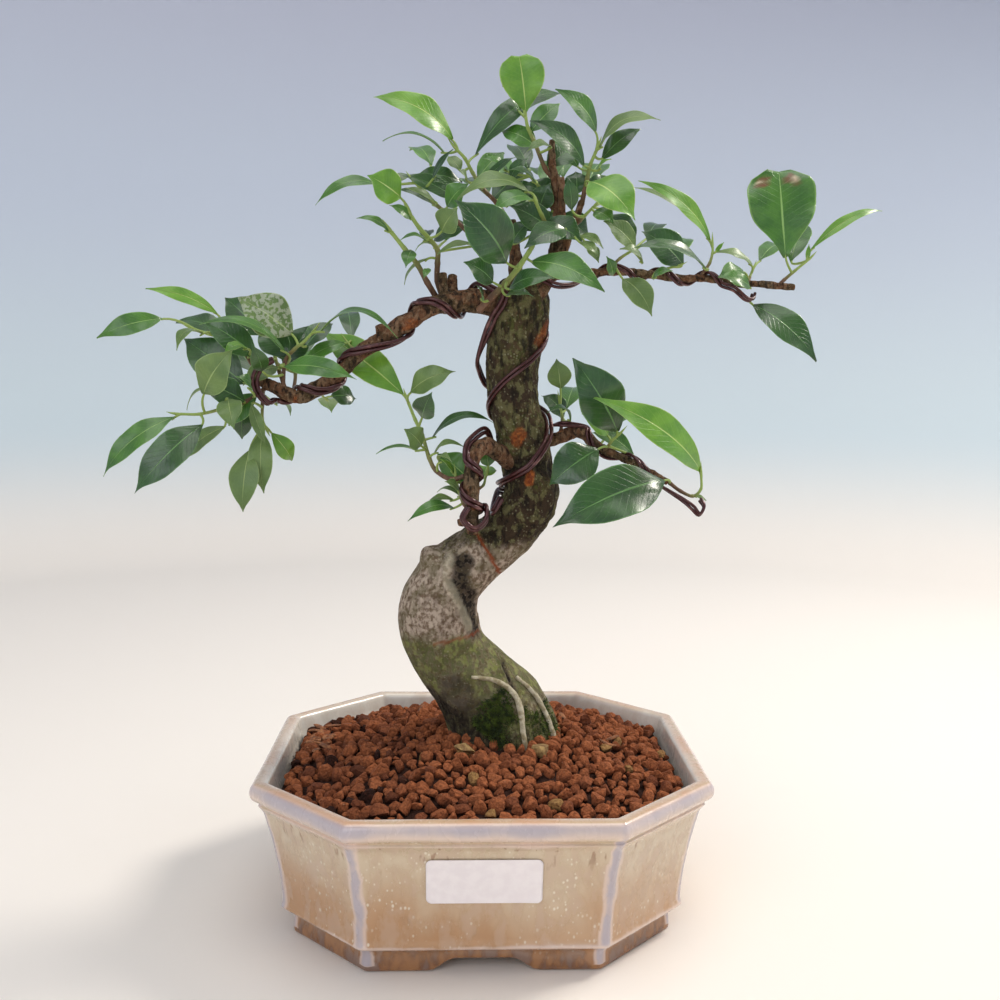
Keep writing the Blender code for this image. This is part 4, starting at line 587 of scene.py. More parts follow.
class Builder:
    """Gathers points, faces, face finishes and point values, and makes one mesh of them."""

    def __init__(self) -> None:
        """Starts empty."""
        self.points: list[Array] = []
        self.faces: list[tuple[Array, int]] = []
        self.values: dict[str, list[tuple[int, Array]]] = {}
        self.count = 0

    def add(self, points: Array, faces: list[Array], finish: int = 0, **values: Array) -> None:
        """Adds a block of mesh.

        Args:
            points: rows of (x, y, z).
            faces: arrays of corner numbers, each with one length of row.
            finish: their material's number.
            values: named numbers, one for each point.
        """
        for block in faces:
            if len(block):
                self.faces.append((np.asarray(block, int) + self.count, finish))
        for name, numbers in values.items():
            spread = np.broadcast_to(np.asarray(numbers, float), (len(points),))
            self.values.setdefault(name, []).append((self.count, spread))
        self.points.append(np.asarray(points, float))
        self.count += len(points)

    def tube(self, path: Array, radii: Array, sides: int, finish: int = 0, **values: Array) -> None:
        """Adds a round rod with domed ends.

        Args:
            path: rows of (x, y, z).
            radii: one radius for each row.
            sides: how many sides the rod has.
            finish: its material's number.
            values: named numbers, one for each row of the path or one for all.
        """
        tangents, fronts, across = frames_along(path)
        rings, carried = [], []
        order = [(0, -0.7, 0.35), (0, -0.45, 0.8), *((k, 0, 1) for k in range(len(path)))]
        order += [(len(path) - 1, 0.45, 0.8), (len(path) - 1, 0.7, 0.35)]
        turns = 2 * np.pi * np.arange(sides) / sides
        for k, push, shrink in order:
            middle = path[k] + tangents[k] * radii[k] * push
            spokes = np.outer(np.cos(turns), fronts[k]) + np.outer(np.sin(turns), across[k])
            rings.append(middle + spokes * radii[k] * shrink)
            carried.append(k)
        dome = tangents * radii[:, None] * 0.78
        points = np.vstack([*rings, path[0] - dome[0], path[-1] + dome[-1]])
        first = len(points) - 2
        caps = [fan_faces(first, 0, sides, ahead=False), fan_faces(first + 1, (len(rings) - 1) * sides, sides)]
        spread = {}
        for name, numbers in values.items():
            numbers = np.broadcast_to(np.asarray(numbers, float), (len(path),))
            spread[name] = np.concatenate([np.repeat(numbers[carried], sides), numbers[[0, -1]]])
        self.add(points, [ring_faces(len(rings), sides), *caps], finish, **spread)

    def build(self, name: str, place: Place, smooth: bool = True) -> Object:
        """Makes the object.

        Args:
            name: the piece's name.
            place: turns the design's points into metres.
            smooth: whether its faces shade smoothly.

        Returns:
            The new object, linked to the scene.
        """
        points = place.metres(np.vstack(self.points))
        mesh = bpy.data.meshes.new(name)
        mesh.vertices.add(len(points))
        mesh.vertices.foreach_set("co", points.ravel())
        sizes = np.concatenate([np.full(len(f), f.shape[1]) for f, _ in self.faces])
        mesh.loops.add(int(sizes.sum()))
        mesh.loops.foreach_set("vertex_index", np.concatenate([f.ravel() for f, _ in self.faces]))
        mesh.polygons.add(len(sizes))
        mesh.polygons.foreach_set("loop_start", np.concatenate([[0], np.cumsum(sizes)[:-1]]))
        mesh.polygons.foreach_set("material_index", np.concatenate([np.full(len(f), m) for f, m in self.faces]))
        mesh.polygons.foreach_set("use_smooth", np.full(len(sizes), smooth))
        for value, blocks in self.values.items():
            numbers = np.zeros(len(points), np.float32)
            for start, block in blocks:
                numbers[start : start + len(block)] = block
            layer = mesh.attributes.new(value, "FLOAT", "POINT")
            layer.data.foreach_set("value", numbers)
        mesh.update(calc_edges=True)
        mesh.validate()
        piece = bpy.data.objects.new(name, mesh)
        bpy.context.scene.collection.objects.link(piece)
        return piece


def ring_faces(rings: int, sides: int) -> Array:
    """The four-cornered faces between rings that follow each other.

    Args:
        rings: how many rings there are.
        sides: how many points each has.

    Returns:
        Rows of four corner numbers.
    """
    row = np.arange(rings - 1)[:, None] * sides
    side = np.arange(sides)[None, :]
    after = (side + 1) % sides
    return np.stack([row + side, row + after, row + sides + after, row + sides + side], -1).reshape(-1, 4)


def fan_faces(tip: int, start: int, sides: int, ahead: bool = True) -> Array:
    """The three-cornered faces between one point and a ring.

    Args:
        tip: the point's number.
        start: the ring's first point.
        sides: how many points the ring has.
        ahead: whether the corners run the ring's own way.

    Returns:
        Rows of three corner numbers.
    """
    ring = np.arange(sides)
    runs = (start + ring, start + (ring + 1) % sides)
    return np.stack([np.full(sides, tip), *(runs if ahead else runs[::-1])], 1)


def sheet_faces(rows: int, columns: int) -> tuple[Array, Array]:
    """The faces of a grid of points, and the walk round its edge.

    Args:
        rows: how many faces it has one way.
        columns: how many it has the other way.

    Returns:
        Rows of four corner numbers, and the corner numbers along the edge.
    """
    row = columns + 1
    i, j = np.meshgrid(np.arange(rows), np.arange(columns), indexing="ij")
    corner = (i * row + j).ravel()
    edge = [*range(row), *(k * row + columns for k in range(1, rows + 1))]
    edge += [*range(rows * row + columns - 1, rows * row - 1, -1), *(k * row for k in range(rows - 1, 0, -1))]
    return np.stack([corner, corner + 1, corner + 1 + row, corner + row], 1), np.array(edge)


# ---------------------------------------------------------------- finishes


class Sheet:
    """A node tree with short calls that add and link its nodes."""

    def __init__(self, tree: NodeTree) -> None:
        """Takes the tree that the nodes go into."""
        self.tree = tree

    def node(self, kind: str, **settings: object) -> bpy.types.Node:
        """Adds a node.

        Args:
            kind: its type name, without the ShaderNode prefix.
            settings: properties to set on it.

        Returns:
            The new node.
        """
        made = self.tree.nodes.new(f"ShaderNode{kind}")
        for name, value in settings.items():
            setattr(made, name, value)
        return made

    def put(self, socket: Socket, value: object) -> None:
        """Links a socket to an output, or sets it to a number or colour."""
        if isinstance(value, Socket):
            self.tree.links.new(value, socket)
        elif isinstance(value, tuple) and len(value) == 3 and socket.type == "RGBA":
            socket.default_value = (*value, 1)
        else:
            socket.default_value = value

    def calc(self, operation: str, first: object, second: object = 0.0, third: object = 0.0) -> Socket:
        """A sum on one to three numbers.

        Args:
            operation: the Math node's operation.
            first: a socket or number.
            second: a socket or number.
            third: a socket or number.

        Returns:
            The result.
        """
        made = self.node("Math", operation=operation)
        for socket, value in zip(made.inputs, (first, second, third)):
            self.put(socket, value)
        return made.outputs[0]

    def blend(self, share: object, first: object, second: object, mode: str = "MIX") -> Socket:
        """A mix of two colours.

        Args:
            share: how much of the second one shows.
            first: a socket or colour.
            second: a socket or colour.
            mode: the way that they mix.

        Returns:
            The mixed colour.
        """
        made = self.node("Mix", data_type="RGBA", blend_type=mode)
        for socket, value in zip((made.inputs[0], made.inputs[6], made.inputs[7]), (share, first, second)):
            self.put(socket, value)
        return made.outputs[2]

    def span(self, value: object, low: float, high: float, start: float = 0.0, end: float = 1.0) -> Socket:
        """A number moved smoothly from one span to another and kept inside it.

        Args:
            value: a socket or number.
            low: where the old span starts.
            high: where it ends.
            start: the new span's start.
            end: the new span's end.

        Returns:
            The moved number.
        """
        made = self.node("MapRange", interpolation_type="SMOOTHSTEP")
        for socket, number in zip(made.inputs, (value, low, high, start, end)):
            self.put(socket, number)
        return made.outputs[0]

    def point(self, name: str) -> Socket:
        """A named number that the mesh carries at its points."""
        return self.node("Attribute", attribute_name=name).outputs["Fac"]

    def use(self, group: NodeTree, **values: object) -> bpy.types.Node:
        """Places a group.

        Args:
            group: the node group.
            values: its inputs by name, with _ for a space.

        Returns:
            The placed node.
        """
        made = self.node("Group", node_tree=group)
        for name, value in values.items():
            self.put(made.inputs[name.replace("_", " ")], value)
        return made

    def mask(self, group: NodeTree, **values: object) -> Socket:
        """Places a group and takes its mask, with the same arguments as use."""
        return self.use(group, **values).outputs["Mask"]


def new_group(name: str, inputs: dict[str, float], outputs: dict[str, str]) -> tuple[Sheet, dict, bpy.types.Node]:
    """Starts a node group.

    Args:
        name: its name.
        inputs: its number inputs and their usual values.
        outputs: its outputs and the type of each.

    Returns:
        Its sheet, its inputs by name and the node that takes its outputs.
    """
    tree = bpy.data.node_groups.new(name, "ShaderNodeTree")
    for label, value in inputs.items():
        tree.interface.new_socket(label, in_out="INPUT", socket_type="NodeSocketFloat").default_value = value
    for label, kind in outputs.items():
        tree.interface.new_socket(label, in_out="OUTPUT", socket_type=kind)
    sheet = Sheet(tree)
    first = tree.nodes.new("NodeGroupInput")
    last = tree.nodes.new("NodeGroupOutput")
    return sheet, {label: first.outputs[label] for label in inputs}, last


class Effects:
    """The node groups that several finishes share."""

    def __init__(self) -> None:
        """Builds each group once."""
        self.patches = self.make_patches()
        self.veins = self.make_veins()
        self.pits = self.make_pits()

    @staticmethod
    def place_in(sheet: Sheet, width: Socket, stretch: Socket) -> Socket:
        """The object's own coordinates, divided by a width in millimetres and drawn out in height.

        Args:
            sheet: the group's sheet.
            width: how wide a feature is, in millimetres.
            stretch: how much taller than wide it is.

        Returns:
            The divided coordinates.
        """
        at = sheet.node("TexCoord").outputs["Object"]
        thousand = sheet.calc("DIVIDE", 1000.0, width)
        tall = sheet.calc("DIVIDE", thousand, stretch)
        size = sheet.node("CombineXYZ")
        for socket, value in zip(size.inputs, (thousand, thousand, tall)):
            sheet.put(socket, value)
        scaled = sheet.node("VectorMath", operation="MULTIPLY")
        sheet.put(scaled.inputs[0], at)
        sheet.put(scaled.inputs[1], size.outputs[0])
        return scaled.outputs[0]

    def make_patches(self) -> NodeTree:
        """Soft-edged patches, such as glaze clouds, lichen or stains."""
        inputs = {"Width": 5.0, "Stretch": 1.0, "Detail": 3.0, "Low": 0.45, "High": 0.6}
        sheet, given, last = new_group("patches", inputs, {"Mask": "NodeSocketFloat", "Value": "NodeSocketFloat"})
        noise = sheet.node("TexNoise")
        sheet.put(noise.inputs["Vector"], self.place_in(sheet, given["Width"], given["Stretch"]))
        sheet.put(noise.inputs["Scale"], 1.0)
        sheet.put(noise.inputs["Detail"], given["Detail"])
        sheet.put(last.inputs["Mask"], sheet.span(noise.outputs["Fac"], given["Low"], given["High"]))
        sheet.put(last.inputs["Value"], noise.outputs["Fac"])
        return sheet.tree

    def make_pits(self) -> NodeTree:
        """Round spots with dark or pale middles, such as glaze flecks, pores or specks of lichen."""
        inputs = {"Width": 2.0, "Stretch": 1.0, "Share": 0.3, "Softness": 0.1}
        sheet, given, last = new_group("pits", inputs, {"Mask": "NodeSocketFloat"})
        cells = sheet.node("TexVoronoi", feature="F1")
        sheet.put(cells.inputs["Vector"], self.place_in(sheet, given["Width"], given["Stretch"]))
        sheet.put(cells.inputs["Scale"], 1.0)
        tint = sheet.node("SeparateColor")
        sheet.put(tint.inputs[0], cells.outputs["Color"])
        reach = sheet.calc("MULTIPLY", given["Share"], tint.outputs[0])
        near = sheet.calc("SUBTRACT", reach, cells.outputs["Distance"])
        soft = sheet.calc("DIVIDE", near, given["Softness"])
        clamp = sheet.node("Clamp")
        sheet.put(clamp.inputs[0], soft)
        sheet.put(last.inputs["Mask"], clamp.outputs[0])
        return sheet.tree

    def make_veins(self) -> NodeTree:
        """A leaf's midrib, side veins and pale rim, from the numbers that its mesh carries."""
        outputs = dict.fromkeys(("Midrib", "Veins", "Rim", "Height"), "NodeSocketFloat")
        sheet, given, last = new_group("leaf veins", {"Midrib Width": 0.06, "Vein Count": 13.0}, outputs)
        across = sheet.calc("ABSOLUTE", sheet.point("across"))
        along = sheet.point("along")
        narrowing = sheet.calc("SUBTRACT", 1.25, along)
        reach = sheet.calc("MULTIPLY", given["Midrib Width"], narrowing)
        midrib = sheet.calc("SUBTRACT", 1.0, sheet.calc("DIVIDE", across, reach))
        midrib = sheet.span(midrib, 0.0, 0.7)
        slant = sheet.calc("MULTIPLY_ADD", across, -0.22, along)
        wave = sheet.calc("FRACT", sheet.calc("MULTIPLY", slant, given["Vein Count"]))
        ridge = sheet.calc("ABSOLUTE", sheet.calc("SUBTRACT", wave, 0.5))
        veins = sheet.span(ridge, 0.10, 0.0)
        rim = sheet.span(across, 0.93, 0.99)
        sheet.put(last.inputs["Midrib"], midrib)
        sheet.put(last.inputs["Veins"], veins)
        sheet.put(last.inputs["Rim"], rim)
        raised = sheet.calc("MULTIPLY", veins, -0.25)
        sheet.put(last.inputs["Height"], sheet.calc("MULTIPLY_ADD", midrib, -1.0, raised))
        return sheet.tree


@dataclass(frozen=True)
class Finish:
    """What every finish has: a name, the shine of its skin and the depth of its relief in millimetres."""

    name: str
    effects: Effects
    roughness: float = 0.6
    coat: float = 0.0
    coat_roughness: float = 0.2
    specular: float = 0.5
    relief: float = 0.1

    def start(self) -> tuple[Material, Sheet, bpy.types.Node]:
        """Makes the material with a Principled shader.

        Returns:
            The material, its sheet and its shader.
        """
        made = bpy.data.materials.new(self.name)
        made.use_nodes = True
        shader = made.node_tree.nodes["Principled BSDF"]
        shader.inputs["Roughness"].default_value = self.roughness
        shader.inputs["Coat Weight"].default_value = self.coat
        shader.inputs["Coat Roughness"].default_value = self.coat_roughness
        shader.inputs["Specular IOR Level"].default_value = self.specular
        return made, Sheet(made.node_tree), shader

    def bump(self, sheet: Sheet, shader: bpy.types.Node, height: Socket) -> None:
        """Feeds a height into the shader's normal.

        Args:
            sheet: the material's sheet.
            shader: its shader.
            height: the height, from about 0 to 1.
        """
        made = sheet.node("Bump")
        made.inputs["Strength"].default_value = 1.0
        made.inputs["Distance"].default_value = self.relief * MM
        sheet.put(made.inputs["Height"], height)
        sheet.put(shader.inputs["Normal"], made.outputs[0])


@dataclass(frozen=True)
class GlazeFinish(Finish):
    """Tan reduction glaze: lavender on the corners, blush on the lip with a painted lavender highlight band along its
    upper roll, amber low down, pale flecks and dark runs.
    """

    sand: Colour = srgb(208, 188, 160)
    amber: Colour = srgb(184, 138, 96)
    # Lavender glaze on the corners, also used for the painted highlight band along the lip's upper roll.
    lavender: Colour = srgb(176, 168, 178)
    blush: Colour = srgb(226, 203, 190)
    tan: Colour = srgb(205, 148, 100)
    foot: Colour = srgb(158, 108, 66)
    foot_dark: Colour = srgb(98, 60, 40)
    cream: Colour = srgb(240, 233, 221)
    bare: Colour = srgb(176, 140, 108)

    def make(self) -> Material:
        """Makes it."""
        made, sheet, shader = self.start()
        patches, pits = self.effects.patches, self.effects.pits
        cloud = sheet.mask(patches, Width=26.0, Stretch=1.5, Detail=4.0, Low=0.35, High=0.65)
        mottle = sheet.mask(patches, Width=5.0, Stretch=2.0, Detail=5.0, Low=0.38, High=0.62)
        level = sheet.calc("MULTIPLY_ADD", cloud, 0.35, sheet.point("level"))
        colour = sheet.blend(sheet.span(level, 0.15, 1.05), self.amber, self.sand)
        colour = sheet.blend(sheet.calc("MULTIPLY", mottle, 0.38), colour, srgb(176, 140, 106))
        runs = sheet.mask(patches, Width=2.6, Stretch=7.0, Detail=3.0, Low=0.60, High=0.70)
        runs = sheet.calc("MULTIPLY", runs, sheet.point("runs"))
        colour = sheet.blend(sheet.calc("MULTIPLY", runs, 0.8), colour, srgb(150, 112, 84))
        stains = sheet.mask(pits, Width=17.0, Stretch=1.1, Share=0.16, Softness=0.14)
        stains = sheet.calc("MULTIPLY", stains, sheet.calc("MULTIPLY", mottle, 0.7))
        colour = sheet.blend(stains, colour, srgb(120, 84, 58))
        fleck = sheet.mask(pits, Width=1.5, Stretch=1.5, Share=0.42, Softness=0.2)
        some = sheet.mask(patches, Width=14.0, Detail=2.0, Low=0.4, High=0.62)
        fleck = sheet.calc("MULTIPLY", fleck, sheet.calc("MULTIPLY", some, 0.75))
        colour = sheet.blend(fleck, colour, srgb(238, 228, 208))
        colour = sheet.blend(sheet.point("foot"), colour, sheet.blend(mottle, self.foot, self.foot_dark))
        wavy = sheet.calc("MULTIPLY_ADD", sheet.calc("SUBTRACT", mottle, 0.5), 0.35, sheet.point("corner"))
        colour = sheet.blend(sheet.calc("MULTIPLY", sheet.span(wavy, 0.05, 0.5), 0.75), colour, self.blush)
        colour = sheet.blend(sheet.calc("MULTIPLY", sheet.span(wavy, 0.45, 1.0), 0.85), colour, self.lavender)
        # Blush glaze on the lower roll of the lip; the lavender band along its upper roll is a painted highlight.
        lip = sheet.calc("MULTIPLY_ADD", sheet.calc("SUBTRACT", cloud, 0.5), 0.35, sheet.point("lip"))
        colour = sheet.blend(sheet.calc("MULTIPLY", sheet.span(lip, 0.15, 0.5), 0.8), colour, self.blush)
        colour = sheet.blend(sheet.calc("MULTIPLY", sheet.span(lip, 0.5, 1.1), 0.75), colour, self.lavender)
        colour = sheet.blend(sheet.point("inside"), colour, sheet.blend(mottle, self.cream, srgb(226, 216, 202)))
        warm = sheet.calc("MULTIPLY", sheet.point("rim"), sheet.span(cloud, 0.0, 1.0, 0.35, 1.0))
        colour = sheet.blend(sheet.calc("MULTIPLY", warm, 0.75), colour, self.tan)
        colour = sheet.blend(sheet.point("bare"), colour, sheet.blend(mottle, self.bare, self.foot))
        sheet.put(shader.inputs["Base Color"], colour)
        rough = sheet.span(mottle, 0.0, 1.0, self.roughness, self.roughness + 0.12)
        sheet.put(shader.inputs["Roughness"], sheet.calc("MULTIPLY_ADD", sheet.point("bare"), 0.45, rough))
        height = sheet.calc("MULTIPLY_ADD", fleck, 0.3, sheet.calc("MULTIPLY", cloud, 0.8))
        self.bump(sheet, shader, height)
        return made


@dataclass(frozen=True)
class ClayFinish(Finish):
    """Fired clay grains and the bed under them, each grain in its own tone, with painted shade on each grain's lower
    side and on the bed between the grains.
    """

    rust: Colour = srgb(170, 100, 62)
    brown: Colour = srgb(116, 66, 44)
    # The darkest grains' colour, also used for the painted shade under the grains and on the bed.
    dark: Colour = srgb(44, 26, 20)
    ochre: Colour = srgb(168, 128, 78)

    def make(self) -> Material:
        """Makes it."""
        made, sheet, shader = self.start()
        patches, pits = self.effects.patches, self.effects.pits
        tone = sheet.point("tone")
        grit = sheet.mask(patches, Width=1.1, Detail=6.0, Low=0.35, High=0.68)
        cloud = sheet.mask(patches, Width=30.0, Detail=2.0, Low=0.38, High=0.62)
        shade = sheet.calc("MULTIPLY_ADD", cloud, 0.25, tone)
        colour = sheet.blend(sheet.span(shade, 0.05, 0.8), self.brown, self.rust)
        # Grains of the lowest tone go dark, and so does the bed, whose low tone is painted shade between the grains.
        colour = sheet.blend(sheet.span(tone, 0.12, 0.02), colour, self.dark)
        colour = sheet.blend(sheet.span(tone, 0.985, 0.995), colour, self.ochre)
        colour = sheet.blend(sheet.calc("MULTIPLY", grit, 0.5), colour, srgb(78, 40, 27))
        dust = sheet.mask(pits, Width=2.4, Share=0.16, Softness=0.08)
        colour = sheet.blend(sheet.calc("MULTIPLY", dust, 0.55), colour, srgb(196, 160, 128))
        # Painted shade: each grain's lower side and the bed between the grains go dark.
        colour = sheet.blend(sheet.point("hollow"), colour, self.dark)
        sheet.put(shader.inputs["Base Color"], colour)
        self.bump(sheet, shader, sheet.calc("MULTIPLY_ADD", dust, 0.4, grit))
        return made


@dataclass(frozen=True)
class BarkFinish(Finish):
    """Fig bark: smooth pinkish grey low down, rough and dark with lichen high up, with moss film and wire scars."""

    skin: Colour = srgb(184, 166, 148)
    skin_shade: Colour = srgb(112, 92, 74)
    rough_bark: Colour = srgb(62, 48, 34)
    fissure: Colour = srgb(28, 21, 15)
    lichen: Colour = srgb(122, 118, 78)
    film: Colour = srgb(76, 82, 36)
    lichen_share: float = 0.62
    patch_width: float = 5.0

    def make(self) -> Material:
        """Makes it."""
        made, sheet, shader = self.start()
        patches, pits = self.effects.patches, self.effects.pits
        width = self.patch_width
        mottle = sheet.mask(patches, Width=width * 0.34, Stretch=1.1, Detail=7.0, Low=0.38, High=0.64)
        crack = sheet.mask(patches, Width=width * 0.5, Stretch=2.6, Detail=5.0, Low=0.50, High=0.66)
        speck = sheet.mask(pits, Width=width * 0.24, Share=0.5, Softness=0.3)
        crust = sheet.mask(patches, Width=width * 0.7, Stretch=1.3, Detail=8.0, Low=0.49, High=0.57)
        cloud = sheet.mask(patches, Width=width * 3.2, Detail=4.0, Low=0.42, High=0.60)
        smooth = sheet.blend(mottle, self.skin, self.skin_shade)
        veil = sheet.mask(patches, Width=width * 1.6, Detail=5.0, Low=0.44, High=0.62)
        smooth = sheet.blend(sheet.calc("MULTIPLY", veil, 0.6), smooth, srgb(94, 86, 56))
        smooth = sheet.blend(sheet.calc("MULTIPLY", crack, 0.4), smooth, srgb(84, 66, 54))
        smooth = sheet.blend(sheet.calc("MULTIPLY", speck, 0.5), smooth, srgb(196, 184, 160))
        coarse = sheet.blend(cloud, self.rough_bark, srgb(84, 68, 46))
        coarse = sheet.blend(sheet.calc("MULTIPLY", sheet.calc("MULTIPLY", mottle, cloud), 0.75), coarse, self.film)
        coarse = sheet.blend(sheet.calc("MULTIPLY", crust, self.lichen_share), coarse, self.lichen)
        coarse = sheet.blend(sheet.calc("MULTIPLY", speck, self.lichen_share * 0.6), coarse, srgb(196, 190, 152))
        coarse = sheet.blend(sheet.calc("MULTIPLY", crack, 0.85), coarse, self.fissure)
        colour = sheet.blend(sheet.point("smooth"), coarse, smooth)
        film = sheet.calc("MULTIPLY", sheet.point("moss"), sheet.span(mottle, 0.0, 1.0, 0.95, 0.45))
        colour = sheet.blend(film, colour, sheet.blend(crust, srgb(78, 84, 36), srgb(120, 126, 62)))
        # The dark value darkens towards the fissure colour: dark cracks and wounds, and painted shade on the lower left
        # of the trunk and in the hollows of the branch bark.
        dark = sheet.calc("MULTIPLY", sheet.point("dark"), sheet.span(mottle, 0.0, 1.0, 1.0, 0.6))
        colour = sheet.blend(dark, colour, self.fissure)
        colour = sheet.blend(sheet.point("rust"), colour, srgb(138, 64, 30))
        colour = sheet.blend(sheet.point("cut"), colour, sheet.blend(mottle, srgb(176, 96, 44), srgb(120, 58, 30)))
        colour = sheet.blend(sheet.point("pale"), colour, srgb(206, 196, 168))
        sheet.put(shader.inputs["Base Color"], colour)
        coarse_height = sheet.calc("MULTIPLY_ADD", crack, -1.0, sheet.calc("MULTIPLY_ADD", speck, 0.35, mottle))
        damp = sheet.calc("MULTIPLY_ADD", sheet.point("smooth"), -0.72, 1.0)
        self.bump(sheet, shader, sheet.calc("MULTIPLY", coarse_height, damp))
        return made


@dataclass(frozen=True)
class TwigFinish(Finish):
    """A young stem that turns from brown bark at its foot to green at its tip, with small pores."""

    bark: Colour = srgb(112, 78, 54)
    green: Colour = srgb(146, 168, 84)

    def make(self) -> Material:
        """Makes it."""
        made, sheet, shader = self.start()
        mottle = sheet.mask(self.effects.patches, Width=2.0, Stretch=2.0, Detail=5.0, Low=0.4, High=0.62)
        pores = sheet.mask(self.effects.pits, Width=1.2, Share=0.4, Softness=0.15)
        old = sheet.blend(sheet.calc("MULTIPLY", mottle, 0.6), self.bark, srgb(70, 48, 34))
        colour = sheet.blend(sheet.span(sheet.point("fresh"), 0.35, 0.85), old, self.green)
        colour = sheet.blend(sheet.calc("MULTIPLY", pores, 0.35), colour, srgb(190, 170, 130))
        sheet.put(shader.inputs["Base Color"], colour)
        self.bump(sheet, shader, sheet.calc("MULTIPLY_ADD", pores, 0.5, mottle))
        return made


@dataclass(frozen=True)
class LeafFinish(Finish):
    """A waxy blade with a pale midrib, faint side veins, a pale rim and a dull underside."""

    top: Colour = srgb(40, 84, 44)
    shade: Colour = srgb(28, 62, 34)
    under: Colour = srgb(122, 148, 96)
    rib: Colour = srgb(132, 166, 92)

    def make(self) -> Material:
        """Makes it."""
        made, sheet, shader = self.start()
        veins = sheet.use(self.effects.veins, Midrib_Width=0.065, Vein_Count=13.0)
        cloud = sheet.mask(self.effects.patches, Width=9.0, Detail=3.0, Low=0.35, High=0.65)
        fine = sheet.mask(self.effects.patches, Width=0.9, Detail=4.0, Low=0.3, High=0.7)
        share = sheet.calc("MULTIPLY_ADD", fine, 0.25, sheet.calc("MULTIPLY", cloud, 0.75))
        upper = sheet.blend(share, self.top, self.shade)
        upper = sheet.blend(sheet.calc("MULTIPLY", veins.outputs["Veins"], 0.05), upper, self.rib)
        lower = sheet.blend(sheet.calc("MULTIPLY", veins.outputs["Veins"], 0.15), self.under, self.rib)
        colour = sheet.blend(sheet.point("underside"), upper, lower)
        colour = sheet.blend(sheet.calc("MULTIPLY", veins.outputs["Midrib"], 0.85), colour, self.rib)
        colour = sheet.blend(sheet.calc("MULTIPLY", veins.outputs["Rim"], 0.6), colour, self.rib)
        chalk = sheet.mask(self.effects.patches, Width=1.6, Detail=6.0, Low=0.46, High=0.52)
        colour = sheet.blend(sheet.calc("MULTIPLY", sheet.point("chalk"), chalk), colour, srgb(214, 214, 200))
        colour = sheet.blend(sheet.point("spot"), colour, srgb(214, 190, 160))
        colour = sheet.blend(sheet.point("spot_rim"), colour, srgb(120, 72, 44))
        sheet.put(shader.inputs["Base Color"], colour)
        dull = sheet.calc("MULTIPLY_ADD", sheet.point("underside"), 0.28, self.roughness)
        sheet.put(shader.inputs["Roughness"], sheet.calc("MULTIPLY_ADD", fine, 0.06, dull))
        self.bump(sheet, shader, sheet.calc("MULTIPLY_ADD", fine, 0.12, veins.outputs["Height"]))
        return made


@dataclass(frozen=True)
class WireFinish(Finish):
    """Dark wine-brown anodised aluminium, rubbed paler here and there."""

    wine: Colour = srgb(74, 30, 31)
    worn: Colour = srgb(150, 104, 98)

    def make(self) -> Material:
        """Makes it."""
        made, sheet, shader = self.start()
        shader.inputs["Metallic"].default_value = 0.55
        rub = sheet.mask(self.effects.patches, Width=7.0, Detail=4.0, Low=0.58, High=0.72)
        fine = sheet.mask(self.effects.patches, Width=1.2, Stretch=2.0, Detail=4.0, Low=0.4, High=0.6)
        colour = sheet.blend(sheet.calc("MULTIPLY", fine, 0.4), self.wine, srgb(58, 24, 24))
        colour = sheet.blend(sheet.calc("MULTIPLY", rub, 0.55), colour, self.worn)
        sheet.put(shader.inputs["Base Color"], colour)
        sheet.put(shader.inputs["Roughness"], sheet.span(fine, 0.0, 1.0, self.roughness, self.roughness + 0.15))
        self.bump(sheet, shader, fine)
        return made


@dataclass(frozen=True)
class PlainGrainFinish(Finish):
    """Two shades mottled together: moss, stone, paper, roots and moulded mesh."""

    first: Colour = (0.5, 0.5, 0.5)
    second: Colour = (0.4, 0.4, 0.4)
    width: float = 3.0

    def make(self) -> Material:
        """Makes it."""
        made, sheet, shader = self.start()
        mottle = sheet.mask(self.effects.patches, Width=self.width, Detail=6.0, Low=0.36, High=0.64)
        fine = sheet.mask(self.effects.patches, Width=self.width * 0.2, Detail=3.0, Low=0.3, High=0.7)
        colour = sheet.blend(mottle, self.first, self.second)
        sheet.put(shader.inputs["Base Color"], sheet.blend(sheet.calc("MULTIPLY", fine, 0.25), colour, self.second))
        self.bump(sheet, shader, sheet.calc("MULTIPLY_ADD", fine, 0.4, mottle))
        return made


# ---------------------------------------------------------------- shapes shared by several pieces


def smooth_step(value: Array, low: float, high: float) -> Array:
    """A soft step from 0 to 1.

    Args:
        value: the numbers to step.
        low: where it leaves 0.
        high: where it reaches 1.

    Returns:
        One number for each.
    """
    share = np.clip((np.asarray(value, float) - low) / (high - low), 0, 1)
    return share * share * (3 - 2 * share)


def nearness(points: Array, line: list, reach: float) -> Array:
    """How near each point lies to a line drawn on the front, seen from in front.

    Args:
        points: rows of (x, y, z).
        line: (x, z) points that the line runs through.
        reach: how far from the line the value falls to 0.

    Returns:
        1 on the line, down to 0 at the reach.
    """
    flat = points[:, [0, 2]]
    nearest = np.full(len(points), 1e9)
    for start, end in zip(np.array(line, float), np.array(line[1:], float)):
        run = end - start
        share = np.clip((flat - start) @ run / (run @ run), 0, 1)
        nearest = np.minimum(nearest, np.linalg.norm(flat - start - share[:, None] * run, axis=1))
    return 1 - smooth_step(nearest, 0, reach)


